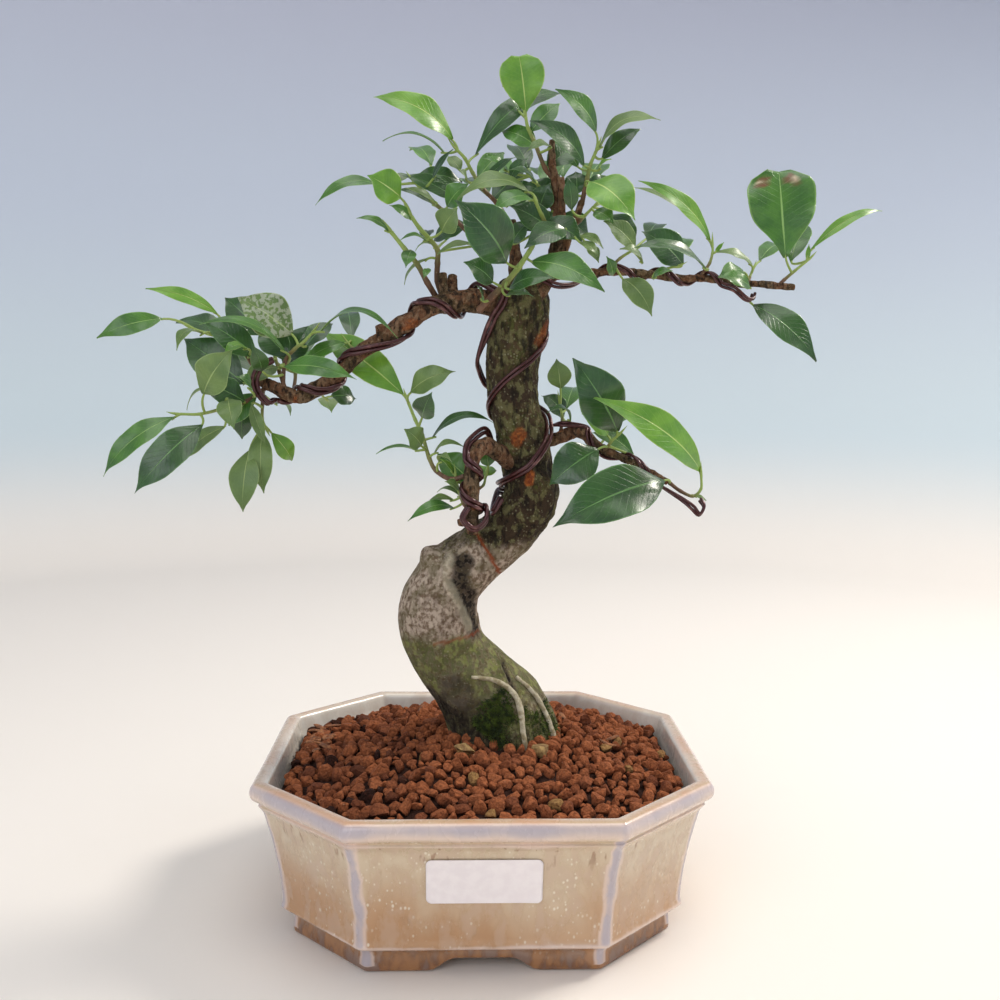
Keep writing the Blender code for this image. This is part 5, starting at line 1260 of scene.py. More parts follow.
def turned_grains(
    rng: Generator, count: int, cuts: int, fineness: int = 2
) -> tuple[Array, Array]:
    """Small angular lumps of unit radius: balls with flats cut on them, turned at random.

    Args:
        rng: the random draws.
        count: how many lumps.
        cuts: how many flats each has.
        fineness: how finely the balls are divided.

    Returns:
        The lumps' points, as (count, points, 3), and the faces of one lump.
    """
    mesh = bmesh.new()
    bmesh.ops.create_icosphere(mesh, subdivisions=fineness, radius=1.0)
    ball = np.array([v.co for v in mesh.verts])
    faces = np.array([[v.index for v in f.verts] for f in mesh.faces])
    mesh.free()
    lumps = np.repeat(ball[None], count, axis=0)
    lumps = lumps * (1 + rng.normal(0, 0.14 / fineness**1.5, (count, len(ball), 1)))
    for _ in range(cuts):
        normal = rng.normal(size=(count, 3))
        normal /= np.linalg.norm(normal, axis=1)[:, None]
        depth = rng.uniform(0.42, 0.85, (count, 1))
        beyond = np.clip(np.einsum("npk,nk->np", lumps, normal) - depth, 0, None)
        lumps -= beyond[..., None] * normal[:, None]
    axes = rng.normal(size=(count, 3))
    axes /= np.linalg.norm(axes, axis=1)[:, None]
    angles = rng.uniform(0, 2 * np.pi, count)
    cosine, sine = np.cos(angles)[:, None, None], np.sin(angles)[:, None, None]
    spun = lumps * cosine + np.cross(np.broadcast_to(axes[:, None], lumps.shape), lumps) * sine
    spun += axes[:, None] * np.einsum("npk,nk->np", lumps, axes)[..., None] * (1 - cosine)
    return spun, faces


@dataclass
class Piece:
    """What one finished piece needs to take its place in the frame."""

    node: str
    slot: str
    finishes: list

    def settle(self, piece: Object) -> Object:
        """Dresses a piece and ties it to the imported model.

        Args:
            piece: the finished object.

        Returns:
            The same object.
        """
        for finish in self.finishes:
            piece.data.materials.append(finish)
        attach(piece, BODY)
        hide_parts(self.node)
        LOG.info("%s: %d faces", piece.name, len(piece.data.polygons))
        return piece


@dataclass
class Looks:
    """Every material, made once."""

    effects: Effects = field(default_factory=Effects)

    def __post_init__(self) -> None:
        """Makes the materials from their finishes."""
        effects = self.effects
        self.glaze = GlazeFinish("glaze", effects, 0.2, 0.6, 0.08, 0.55, 0.16).make()
        self.clay = ClayFinish("fired clay", effects, 0.93, relief=0.35, specular=0.2).make()
        self.bark = BarkFinish("trunk bark", effects, 0.86, relief=0.7, specular=0.25).make()
        self.branch_bark = BarkFinish(
            "branch bark", effects, 0.85, relief=0.45, specular=0.25, rough_bark=srgb(118, 82, 58),
            lichen=srgb(170, 140, 110), film=srgb(84, 66, 44), lichen_share=0.35, patch_width=3.0,
        ).make()
        self.twig = TwigFinish("young stem", effects, 0.55, relief=0.12).make()
        self.leaves = {
            # Young leaves are a paler yellow-green, and their colours are also brightened as painted light standing in
            # for light shining through the thin blades.
            Tone.YOUNG: LeafFinish(
                "young leaf with painted backlight", effects, 0.36, 0.25, 0.2, 0.5, 0.16, top=srgb(116, 164, 50), shade=srgb(88, 140, 40),
                under=srgb(150, 184, 90), rib=srgb(190, 212, 120),
            ).make(),
            Tone.GREEN: LeafFinish(
                "green leaf", effects, 0.33, 0.35, 0.18, 0.5, 0.2, top=srgb(80, 130, 42), shade=srgb(54, 100, 34),
                under=srgb(120, 158, 92), rib=srgb(150, 190, 104),
            ).make(),
            Tone.DARK: LeafFinish(
                "dark leaf", effects, 0.30, 0.45, 0.15, 0.5, 0.25, top=srgb(54, 96, 36), shade=srgb(32, 68, 25),
                under=srgb(104, 140, 88), rib=srgb(112, 158, 88),
            ).make(),
            Tone.OLIVE: LeafFinish(
                "olive leaf", effects, 0.42, 0.2, 0.25, 0.5, 0.2, top=srgb(112, 138, 70), shade=srgb(88, 116, 58),
                under=srgb(138, 160, 96), rib=srgb(170, 190, 120),
            ).make(),
        }
        self.wire = WireFinish("wine-brown wire", effects, 0.28, 0.5, 0.1, 0.5, 0.06).make()
        self.moss = PlainGrainFinish(
            "moss", effects, 0.85, relief=0.3, first=srgb(98, 116, 38), second=srgb(44, 58, 22), width=2.2
        ).make()
        self.root_skin = PlainGrainFinish(
            "pale root", effects, 0.8, relief=0.25, first=srgb(206, 196, 170), second=srgb(152, 138, 104), width=2.5
        ).make()
        self.stone = PlainGrainFinish(
            "pale stone", effects, 0.88, relief=0.35, first=srgb(178, 146, 92), second=srgb(128, 96, 58), width=2.8
        ).make()
        self.chips = PlainGrainFinish(
            "bark chips", effects, 0.85, relief=0.25, first=srgb(172, 112, 68), second=srgb(112, 70, 46), width=2.0
        ).make()
        self.paper = PlainGrainFinish(
            "label paper", effects, 0.42, 0.15, 0.3, 0.5, 0.03, first=srgb(246, 238, 238), second=srgb(240, 231, 232),
            width=4.0,
        ).make()
        self.moulding = PlainGrainFinish(
            "moulded mesh", effects, 0.5, relief=0.05, first=srgb(52, 54, 52), second=srgb(38, 40, 40), width=2.0
        ).make()


@dataclass
class Maker:
    """What each sub-assembly needs: the frame that it is built in, and its materials."""

    place: Place
    looks: Looks


# ---------------------------------------------------------------- pot, soil and label


@dataclass
class Pot(Maker):
    """The eight-sided pot: a flared wall under a rolled lip, on a foot ring with two arches and two drain holes."""

    half_width: float = 90.0
    half_depth: float = 84.0
    corner_cut: float = 40.0
    wall_top: float = 51.6
    wall_bottom: float = 11.0
    inset_top: float = 4.6
    inset_bottom: float = 11.5
    thickness: float = 6.0
    floor: float = 11.6
    recess: float = 5.6
    foot_top: float = 9.46
    arch_half: float = 20.5
    arch_slope: float = 10.0
    arch_height: float = 5.0
    hole_radius: float = 8.0
    hole_apart: float = 62.0
    corner_round: float = 2.6
    corner_points: int = 7
    side_points: int = 31
    glaze_edge: float = 4.2

    def corners(self, inset: float) -> Array:
        """The eight corners of a level outline.

        Args:
            inset: how far it lies inside the widest outline.

        Returns:
            Rows of (x, y), anticlockwise from the front's left corner.
        """
        x, y = self.half_width - inset, self.half_depth - inset
        cut = self.corner_cut - inset * (2 - math.sqrt(2))
        right = [(x - cut, -y), (x, -y + cut), (x, y - cut), (x - cut, y)]
        return np.array([(-right[0][0], -y), *right, *((-a, b) for a, b in right[:0:-1])])

    def outline(self, inset: float) -> tuple[Array, Array]:
        """A level outline with round corners.

        Args:
            inset: how far it lies inside the widest outline.

        Returns:
            Rows of (x, y) and how near each lies to a corner, from 0 to 1.
        """
        corners = self.corners(inset)
        rows, near = [], []
        tangent = self.corner_round * math.tan(math.pi / 8)
        for before, corner, after in zip(np.roll(corners, 1, 0), corners, np.roll(corners, -1, 0)):
            back = (before - corner) / np.linalg.norm(before - corner)
            ahead = (after - corner) / np.linalg.norm(after - corner)
            bisector = (back + ahead) / np.linalg.norm(back + ahead)
            middle = corner + bisector * self.corner_round / math.cos(math.pi / 8)
            start, end = corner + back * tangent, corner + ahead * tangent
            for k in range(self.corner_points):
                share = k / (self.corner_points - 1)
                spoke = start + (end - start) * share - middle
                rows.append(middle + spoke / np.linalg.norm(spoke) * self.corner_round)
            finish = after - ahead * tangent
            for k in range(1, self.side_points + 1):
                rows.append(end + (finish - end) * k / (self.side_points + 1))
        rows = np.array(rows)
        gap = np.min(np.linalg.norm(rows[:, None] - corners[None], axis=2), axis=1)
        return rows, 1 - smooth_step(gap, 0.4, self.glaze_edge)

    def wall_inset(self, height: float) -> float:
        """How far the flared wall lies inside the widest outline at a height."""
        share = (self.wall_top - height) / (self.wall_top - self.wall_bottom)
        return self.inset_top + (self.inset_bottom - self.inset_top) * (1 - (1 - share) ** 1.7)

    def profile(self) -> Array:
        """The section from the underside up the outside, over the lip and down the inside.

        Returns:
            Rows of inset, height, runs, foot, lip, rim, inside and bare.
        """
        under = [
            (60, self.recess, 0, 0, 0, 0, 0, 1), (40, self.recess, 0, 0, 0, 0, 0, 1),
            (24.8, self.recess, 0, 0, 0, 0, 0, 1), (24.2, self.recess - 0.5, 0, 0, 0, 0, 0, 1),
            (23.4, 0.5, 0, 0, 0, 0, 0, 1), (22.8, 0, 0, 0, 0, 0, 0, 1), (16.2, 0, 0, 0.6, 0, 0, 0, 1),
        ]
        foot = [
            (15.6, 0.35, 0, 1, 0, 0, 0, 0.3), (15.4, 1.5, 0, 1, 0, 0, 0, 0), (15.5, 4, 0, 0.9, 0, 0, 0, 0),
            (15.7, 6.6, 0, 0.65, 0, 0, 0, 0), (15.0, 8.2, 0, 0.6, 0, 0, 0, 0),
            (13.2, self.foot_top, 0, 0.35, 0.1, 0, 0, 0), (11.6, 10.3, 0, 0.1, 0.45, 0, 0, 0),
            (10.9, 11.3, 0, 0, 0.4, 0, 0, 0), (11.2, 12.5, 0, 0, 0.1, 0, 0, 0),
        ]
        wall = [
            (self.wall_inset(z), z, float(smooth_step(z, 38, 50)), 0, 0, 0, 0, 0)
            for z in (15, 22, 29, 36, 42, 47, 50.5)
        ]
        # The lip column places the blush glaze low on the roll and the painted lavender highlight band on its upper
        # roll.
        lip = [
            (3.7, 52.4, 1, 0, 0.25, 0, 0, 0), (3.1, 53.3, 0.5, 0, 0.45, 0.25, 0, 0), (3.4, 54.3, 0, 0, 0.3, 0.35, 0, 0),
            (2.6, 55.2, 0, 0, 0.3, 0.15, 0, 0), (1.2, 55.9, 0, 0, 0.4, 0, 0, 0), (0.3, 57.2, 0, 0, 0.55, 0, 0, 0),
            (0, 58.8, 0, 0, 0.85, 0, 0, 0), (0.25, 60.4, 0, 0, 1, 0, 0, 0), (1.0, 61.7, 0, 0, 0.9, 0.2, 0, 0),
            (2.2, 62.5, 0, 0, 0.3, 0.8, 0, 0), (3.8, 62.75, 0, 0, 0.1, 0.9, 0.2, 0),
            (5.6, 62.6, 0, 0, 0.2, 0.6, 0.6, 0), (6.7, 61.8, 0, 0, 0, 0.3, 1, 0),
            (7.2, 60.2, 0, 0, 0, 0, 1, 0), (7.8, 55.6, 0, 0, 0, 0, 1, 0),
        ]
        inner = [
            (self.wall_inset(41.6) + self.thickness, 41.6, 0, 0, 0, 0, 1, 0), (15.5, 25, 0, 0, 0, 0, 1, 0),
            (17.5, 15.6, 0, 0, 0, 0, 1, 0), (20.5, self.floor, 0, 0, 0, 0, 1, 0), (50, self.floor, 0, 0, 0, 0, 1, 0),
        ]
        rows = smooth_curve([*foot, *wall, *lip], 5)
        rows[:, 2:] = np.clip(rows[:, 2:], 0, 1)
        return np.vstack([under, rows, inner])

    def build(self) -> Object:
        """Makes the pot, cuts its drain holes and glazes it.

        Returns:
            The pot.
        """
        noise = Noise(3)
        rings, values = [], []
        for row in self.profile():
            flat, near = self.outline(row[0])
            ring = np.column_stack([flat, np.full(len(flat), row[1])])
            top = self.foot_top if row[0] < 20 else self.recess
            if row[1] < top and row[0] < 30:
                arch = smooth_step((self.arch_half - np.abs(ring[:, 0])) / self.arch_slope, 0, 1) * self.arch_height
                straight = np.abs(ring[:, 1]) > self.half_depth - row[0] - 0.01
                arch = np.where(straight, arch, 0)
                ring[:, 2] = arch + row[1] * (top - arch) / top
            if 15 > row[0] or row[1] > 10:
                lumps = noise.layered(ring, 26, 3) * 0.16
                ring[:, :2] *= 1 - (lumps / 85)[:, None]
                ring[:, 2] += noise.at(ring + 50, 30) * 0.12
            shown = row[1] > 2 and row[5] + row[6] + row[7] < 0.5
            level = np.full(len(flat), (row[1] - self.wall_bottom) / (self.wall_top - self.wall_bottom))
            values.append(np.column_stack([np.tile(row[2:], (len(flat), 1)), near * shown, np.clip(level, 0, 1)]))
            rings.append(ring)
        count = len(rings[0])
        points = np.vstack([*rings, [(0, 0, self.recess)], [(0, 0, self.floor)]])
        carried = np.vstack([*values, values[0][:1], values[-1][:1]])
        bottom = fan_faces(len(points) - 2, 0, count, ahead=False)
        floor = fan_faces(len(points) - 1, (len(rings) - 1) * count, count)
        builder = Builder()
        names = ("runs", "foot", "lip", "rim", "inside", "bare", "corner", "level")
        spread = dict(zip(names, carried.T))
        builder.add(points, [ring_faces(len(rings), count), bottom, floor], **spread)
        pot = builder.build("pot_glazed", self.place)
        self.drill(pot)
        return Piece("pot", "glaze", [self.looks.glaze]).settle(pot)

    def drill(self, pot: Object) -> None:
        """Cuts the two drain holes through the floor.

        Args:
            pot: the pot.
        """
        for side in (-1, 1):
            cutter = Builder()
            path = np.array([(side * self.hole_apart / 2, 0, z) for z in (-8.0, 4.0, 9.0, 22.0)])
            cutter.tube(path, np.full(4, self.hole_radius), 48)
            drill = cutter.build("drain_drill", self.place)
            cut = pot.modifiers.new("drain", "BOOLEAN")
            cut.operation = "DIFFERENCE"
            cut.solver = "EXACT"
            cut.object = drill
            bpy.context.view_layer.update()
            graph = bpy.context.evaluated_depsgraph_get()
            drilled = bpy.data.meshes.new_from_object(pot.evaluated_get(graph))
            pot.modifiers.clear()
            pot.data = drilled
            bpy.data.objects.remove(drill)


@dataclass
class Soil(Maker):
    """A mound of fired clay grains, with bark chips at its left edge."""

    middle: tuple = (10.0, 8.0)
    edge: float = 55.6
    mound: float = 13.0
    rim_inset: float = 9.55
    grain_count: int = 3300
    grain_least: float = 1.1
    grain_most: float = 4.1
    pieces: int = 2
    chip_count: int = 26
    trunk_clear: float = 20.5

    def height(self, reach: Array) -> Array:
        """The bed's height at a share of the way from its middle to the wall."""
        return self.edge + self.mound * (1 - np.abs(reach) ** 1.6)

    def reach(self, flat: Array, pot: Pot) -> Array:
        """How far points lie from the mound's middle to the wall.

        Args:
            flat: rows of (x, y).
            pot: the pot.

        Returns:
            0 at the middle and 1 at the wall, for each row.
        """
        corners = pot.corners(self.rim_inset)
        from_middle = flat - np.array(self.middle)
        share = np.zeros(len(flat))
        for corner, after in zip(corners, np.roll(corners, -1, 0)):
            run = after - corner
            outward = np.array([run[1], -run[0]])
            share = np.maximum(share, from_middle @ outward / ((corner - np.array(self.middle)) @ outward))
        return share

    def build(self, pot: Pot) -> None:
        """Makes the bed, the grains and the chips.

        Args:
            pot: the pot that they fill.
        """
        self.bed(pot)
        rng = np.random.default_rng(11)
        flat, sizes = self.scatter(rng, pot)
        self.grains(rng, flat, sizes, pot)
        self.chips(rng, pot)

    def bed(self, pot: Pot) -> None:
        """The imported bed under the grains.

        Args:
            pot: the pot that it fills.
        """
        noise = Noise(5)
        flat, _ = pot.outline(self.rim_inset)
        low, _ = pot.outline(self.rim_inset + 6)
        rings = [np.column_stack([low, np.full(len(low), 38.0)])]
        middle = np.array(self.middle)
        for share in (1.0, *np.linspace(0.985, 0.02, 48)):
            ring = middle + (flat - middle) * share
            z = self.height(np.full(len(ring), share)) - 1.6
            ring = np.column_stack([ring, z])
            ring[:, 2] += noise.layered(ring * (1, 1, 0), 4.0, 3) * 0.7 * min(1, (1 - share) * 12)
            rings.append(ring)
        count = len(flat)
        points = np.vstack([*rings, [(*self.middle, self.edge + self.mound - 1.6)]])
        top = fan_faces(len(points) - 1, (len(rings) - 1) * count, count)
        builder = Builder()
        # Painted shade: the bed takes the lowest tone and a strong shade value, so the gaps between the grains show
        # dark.
        builder.add(points, [ring_faces(len(rings), count), top], tone=0.05, hollow=0.8)
        Piece("soil", "soil", [self.looks.clay]).settle(builder.build("soil_bed", self.place))

    def scatter(self, rng: Generator, pot: Pot) -> tuple[Array, Array]:
        """Finds places for the grains, the largest first, with little overlap.

        Args:
            rng: the random draws.
            pot: the pot that they fill.

        Returns:
            Rows of (x, y), and each grain's radius.
        """
        sizes = np.sort(self.grain_least + (self.grain_most - self.grain_least) * rng.beta(1.5, 2.4, self.grain_count))
        sizes = sizes[::-1]
        places, taken = [], []
        trunk = np.array(self.middle)
        for size in sizes:
            for _ in range(14):
                spot = np.array([rng.uniform(-half, half) for half in (pot.half_width, pot.half_depth)])
                limit = 1 - (size - 0.5) / 76
                if self.reach(spot[None], pot)[0] > limit or np.linalg.norm(spot - trunk) < self.trunk_clear:
                    continue
                if places:
                    gaps = np.linalg.norm(np.array(places) - spot, axis=1) - 0.74 * (np.array(taken) + size)
                    if gaps.min() < 0:
                        continue
                places.append(spot)
                taken.append(size)
                break
        return np.array(places), np.array(taken)

    def grains(
        self, rng: Generator, flat: Array, sizes: Array, pot: Pot
    ) -> None:
        """Makes the grains in a few pieces.

        Args:
            rng: the random draws.
            flat: rows of (x, y).
            sizes: each grain's radius.
            pot: the pot that they fill.
        """
        count = len(flat)
        lumps, faces = turned_grains(rng, count, 8)
        stretch = rng.uniform(0.75, 1.25, (count, 1, 3))
        height = self.height(self.reach(flat, pot)) + sizes * rng.uniform(-0.35, 0.35, count) - 0.4
        middles = np.column_stack([flat, height])
        shaped = lumps * stretch
        # Painted shade: darker towards each grain's lower side.
        hollow = smooth_step(-shaped[..., 2], -0.35, 0.75)
        points = shaped * sizes[:, None, None] + middles[:, None]
        tones = np.clip(rng.beta(2.2, 2.2, count) + 0.12 * np.sign(flat[:, 0] + 30), 0.0, 1.0)
        order = rng.permutation(count)
        for number, block in enumerate(np.array_split(order, self.pieces)):
            builder = Builder()
            each = points.shape[1]
            shifted = (faces[None] + each * np.arange(len(block))[:, None, None]).reshape(-1, 3)
            tone = np.repeat(tones[block], each)
            builder.add(points[block].reshape(-1, 3), [shifted], tone=tone, hollow=hollow[block].ravel())
            grains = builder.build(f"soil_grains_{number}", self.place, smooth=False)
            Piece("soil", "soil", [self.looks.clay]).settle(grains)

    def chips(self, rng: Generator, pot: Pot) -> None:
        """Makes flat flakes of bark that lie on the left edge and here and there elsewhere.

        Args:
            rng: the random draws.
            pot: the pot.
        """
        count = self.chip_count
        lumps, faces = turned_grains(rng, count, 5)
        lumps = lumps / np.linalg.norm(lumps, axis=2, keepdims=True) * (1 + rng.normal(0, 0.05, lumps.shape[:2] + (1,)))
        scale = np.column_stack([rng.uniform(*span, count) for span in ((2.4, 4.6), (1.0, 1.7), (0.4, 0.75))])
        near_edge = count * 3 // 4
        flat = np.column_stack([rng.uniform(-76, -66, count), rng.uniform(2, 46, count)])
        flat[near_edge:] = np.column_stack([rng.uniform(*span, count - near_edge) for span in ((-60, 62), (-60, 55))])
        turns = rng.uniform(0, np.pi, count)
        shaped = lumps * scale[:, None]
        shaped[..., 2] += 0.06 * shaped[..., 0] ** 2 * rng.uniform(-1, 1, (count, 1))
        cosine, sine = np.cos(turns)[:, None], np.sin(turns)[:, None]
        turned = np.stack([
            shaped[..., 0] * cosine - shaped[..., 1] * sine, shaped[..., 0] * sine + shaped[..., 1] * cosine,
            shaped[..., 2] + shaped[..., 0] * rng.uniform(-0.25, 0.25, (count, 1)),
        ], axis=-1)
        reach = np.minimum(self.reach(flat, pot), 0.93)
        direction = flat - np.array(self.middle)
        flat = np.array(self.middle) + direction * (reach / self.reach(flat, pot))[:, None]
        middles = np.column_stack([flat, self.height(reach) + 2.0])
        builder = Builder()
        each = turned.shape[1]
        shifted = (faces[None] + each * np.arange(count)[:, None, None]).reshape(-1, 3)
        builder.add((turned + middles[:, None]).reshape(-1, 3), [shifted])
        Piece("soil", "soil", [self.looks.chips]).settle(builder.build("soil_bark_chips", self.place, smooth=False))


@dataclass
class Label(Maker):
    """A small blank paper label with round corners, one of them lifting a little."""

    width: float = 42.0
    height: float = 18.0
    low: float = 29.5
    corner: float = 2.0
    proud: float = 0.42
    thickness: float = 0.22
    rows: int = 28
    columns: int = 48

    def build(self, pot: Pot) -> None:
        """Makes the label on the front wall.

        Args:
            pot: the pot whose wall it follows.
        """
        skins = []
        for proud in (self.proud, self.proud + self.thickness):
            grid = []
            for i in range(self.rows + 1):
                share = 0.5 - 0.5 * math.cos(math.pi * i / self.rows)
                rise = self.height * share
                end = min(rise, self.height - rise)
                cut = self.corner - math.sqrt(max(0.0, self.corner**2 - max(0.0, self.corner - end) ** 2))
                half = self.width / 2 - cut
                for j in range(self.columns + 1):
                    x = half * (2 * j / self.columns - 1)
                    lift = 0.5 * max(0.0, (x - 12) / 9) ** 2 * max(0.0, 1 - rise / 5) ** 2
                    depth = pot.half_depth - pot.wall_inset(self.low + rise) + proud + lift
                    grid.append((x, -depth, self.low + rise))
            skins.append(np.array(grid))
        front, edge = sheet_faces(self.rows, self.columns)
        count = len(skins[0])
        after = np.roll(edge, -1)
        side = np.stack([edge, after, after + count, edge + count], 1)
        builder = Builder()
        builder.add(np.vstack(skins), [front[:, ::-1], front + count, side])
        Piece("label", "label", [self.looks.paper]).settle(builder.build("label_blank", self.place))


@dataclass
class DrainMeshes(Maker):
    """The two moulded meshes over the drain holes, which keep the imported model's own shape."""

    nodes: tuple = ("drain_mesh_left", "drain_mesh_right")

    def dress(self) -> None:
        """Gives the meshes their moulded plastic."""
        for name in self.nodes:
            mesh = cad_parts[name]
            mesh.data.materials.clear()
            mesh.data.materials.append(self.looks.moulding)
            LOG.info("%s: dressed", name)


# ---------------------------------------------------------------- trunk, branches and roots


@dataclass(frozen=True)
class Mark:
    """A mark on the trunk's front: the finish value that it sets, its (x, z) line, its reach and its relief."""

    value: str
    line: tuple
    reach: float
    relief: float
    strength: float = 1.0


@dataclass
class Stem:
    """A stem's skin as rings of points, closed at both ends, with the direction outwards at each point."""

    rows: list
    sides: int
    steps: int

    def __post_init__(self) -> None:
        """Lays the rings out along the stem."""
        fine = smooth_curve(self.rows, self.steps)
        heads = []
        for end, inner in ((fine[0], fine[1]), (fine[-1], fine[-2])):
            away = end[:3] - inner[:3]
            away /= np.linalg.norm(away)
            heads.append([(*(end[:3] + away * end[3] * push), end[3] * shrink) for push, shrink in
                          ((0.12, 0.96), (0.24, 0.82), (0.33, 0.55), (0.36, 0.22))])
        fine = np.vstack([heads[0][::-1], fine, heads[1]])
        self.path, self.radii = fine[:, :3], fine[:, 3]
        self.tangents, fronts, across = frames_along(self.path)
        turns = 2 * np.pi * np.arange(self.sides) / self.sides
        spokes = np.cos(turns)[None, :, None] * fronts[:, None] + np.sin(turns)[None, :, None] * across[:, None]
        self.outward = spokes.reshape(-1, 3)
        self.reach = np.repeat(self.radii, self.sides)
        self.points = np.repeat(self.path, self.sides, axis=0) + self.outward * self.reach[:, None]

    def add_to(self, builder: Builder, finish: int = 0, **values: Array) -> None:
        """Adds the skin to a mesh.

        Args:
            builder: gathers the mesh.
            finish: its material's number.
            values: named numbers, one for each point or one for all.
        """
        count, rings = self.sides, len(self.path)
        points = np.vstack([self.points, self.points[:count].mean(0), self.points[-count:].mean(0)])
        bottom = fan_faces(len(points) - 2, 0, count, ahead=False)
        top = fan_faces(len(points) - 1, (rings - 1) * count, count)
        spread = {}
        for name, numbers in values.items():
            numbers = np.broadcast_to(np.asarray(numbers, float), (len(self.points),))
            spread[name] = np.concatenate([numbers, [numbers[0], numbers[-1]]])
        builder.add(points, [ring_faces(rings, count), bottom, top], finish, **spread)


@dataclass
class Trunk(Maker):
    """The curved trunk: bark that turns from smooth to rough, a cut knob, a wound with its callus and wire scars."""

    sides: int = 144
    steps: int = 16
    smooth_top: float = 150.0
    film_low: float = 86.0
    film_high: float = 111.0
    knob: tuple = (-19.5, 0.0, 141.5)
    knob_way: tuple = (-0.62, -0.12, 0.78)
    knob_push: float = 6.4
    marks: tuple = (
        Mark("dark", ((-8.2, 142.5), (-9.8, 136), (-4.4, 122), (-1.8, 114)), 6.0, -1.5, 1.0),
        Mark("pale", ((-13.2, 145), (-15.4, 137), (-10.6, 127.5), (-7.4, 121), (-5.2, 115)), 2.4, 1.0, 0.35),
        Mark("rust", ((-2.8, 154.5), (2.3, 146.8), (8.4, 135)), 1.0, -0.7, 1.0),
        Mark("rust", ((-20, 109.2), (-11, 111), (-4.4, 111.8), (3, 113)), 0.8, -0.4, 0.6),
        Mark("cut", ((18.6, 176.6), (19.0, 179.6)), 2.6, 0.9, 1.0),
        Mark("cut", ((13.0, 193.0), (14.4, 195.5)), 3.4, 0.6, 0.8),
        Mark("dark", ((6, 182), (20, 182.5), (33, 180.5)), 4.6, -1.3, 0.9),
        Mark("dark", ((8.6, 99), (11.8, 92.6), (14.4, 86.0), (15.6, 79)), 1.0, -1.0, 1.0),
        # Painted shade: the next two broad dark marks darken the lower left of the trunk's front, in the shade under
        # its lean.
        Mark("dark", ((-12, 90), (-6, 82), (2, 74), (0, 66)), 9.0, -0.4, 0.7),
        Mark("dark", ((-24, 84), (-14, 77), (0, 71), (9, 66)), 7.0, -0.5, 0.95),
        Mark("cut", ((23, 232), (27, 240)), 3.6, 0.4, 0.7),
    )

    def build(self) -> None:
        """Makes the trunk."""
        stem = Stem(TRUNK, self.sides, self.steps)
        points, outward = stem.points.copy(), stem.outward
        z = points[:, 2]
        coarse, fine = Noise(7), Noise(8)
        wobble = coarse.layered(points, 9.0, 2)
        smooth = 1 - smooth_step(z + wobble * 5, self.smooth_top - 5, self.smooth_top + 6)
        smooth *= 0.35 + 0.65 * smooth_step(z + wobble * 4, 74, 90)
        relief = coarse.layered(points, 15.0, 2) * 0.55
        crust = fine.layered(points, (2.6, 2.6, 5.2), 4)
        ridges = 0.5 - np.abs(fine.at(points + 40, (3.4, 3.4, 8.0)))
        relief += (crust * 0.34 + ridges * 0.5) * (1 - 0.82 * smooth) + crust * 0.08
        film = smooth_step(z + wobble * 4, self.film_low - 8, self.film_low + 4)
        film *= 1 - smooth_step(z + wobble * 2, self.film_high - 3, self.film_high + 3)
        film = np.maximum(film * 0.9, 0.55 * (1 - smooth_step(z, 78, 92)))
        values = {"smooth": smooth, "moss": film}
        for name in ("dark", "rust", "cut", "pale"):
            values[name] = np.zeros(len(points))
        facing = smooth_step(-outward[:, 1], 0.0, 0.45)
        broken = 0.55 + 0.45 * smooth_step(fine.layered(points, 2.5, 3), -0.4, 0.3)
        for mark in self.marks:
            near = nearness(points, mark.line, mark.reach * 1.25) * facing
            values[mark.value] = np.maximum(values[mark.value], smooth_step(near * broken, 0.12, 0.5) * mark.strength)
            relief += near * mark.relief
        values["moss"] *= 1 - values["dark"] * 0.7
        foot = 1 - smooth_step(z, 60, 82)
        spread = coarse.at(points * (1, 1, 0.3), 9.0)
        relief += foot * (1.6 + 2.6 * spread)
        gap = np.linalg.norm(points - np.array(self.knob), axis=1)
        push = 1 - smooth_step(gap, 1.5, 8.0)
        cut_end = (1 - smooth_step(gap, 3.4, 4.6)) * smooth_step(outward[:, 2], 0.1, 0.5) * 0.85
        values["dark"] = np.maximum(values["dark"], cut_end)
        relief *= 1 - 0.4 * push
        points += outward * relief[:, None] + np.outer(push, self.knob_way) * self.knob_push
        stem.points = points
        builder = Builder()
        stem.add_to(builder, **values)
        Piece("trunk", "bark", [self.looks.bark]).settle(builder.build("trunk_bark", self.place))


@dataclass
class Branches(Maker):
    """The branches with their cut stubs, in browner bark than the trunk's."""

    sides: int = 36
    steps: int = 14
    relief: float = 0.32
    plain: tuple = ("smooth", "moss", "dark", "rust", "cut", "pale")

    def build(self) -> None:
        """Makes every branch."""
        noise = Noise(9)
        for name, rows in BRANCHES.items():
            builder = Builder()
            for part in (rows, *STUBS.get(name, [])):
                stem = Stem(part, self.sides, self.steps)
                crust = noise.layered(stem.points, (2.0, 2.0, 2.6), 3) * self.relief
                knots = np.clip(noise.at(stem.points + 90, 6.5) - 0.15, 0, None) * 1.1
                ends = np.minimum(stem.reach / 1.6, 1.0)
                stem.points = stem.points + stem.outward * ((crust + knots) * ends)[:, None]
                values = {value: np.zeros(len(stem.points)) for value in self.plain}
                # Painted shade: darker where the bark relief sinks in.
                values["dark"] = smooth_step(-crust, self.relief * 0.3, self.relief * 1.0) * 0.6
                values["cut"] = smooth_step(noise.at(stem.points, 4.0), 0.62, 0.8) * 0.5
                stem.add_to(builder, **values)
            Piece(name, "bark", [self.looks.branch_bark]).settle(builder.build(f"{name}_bark", self.place))


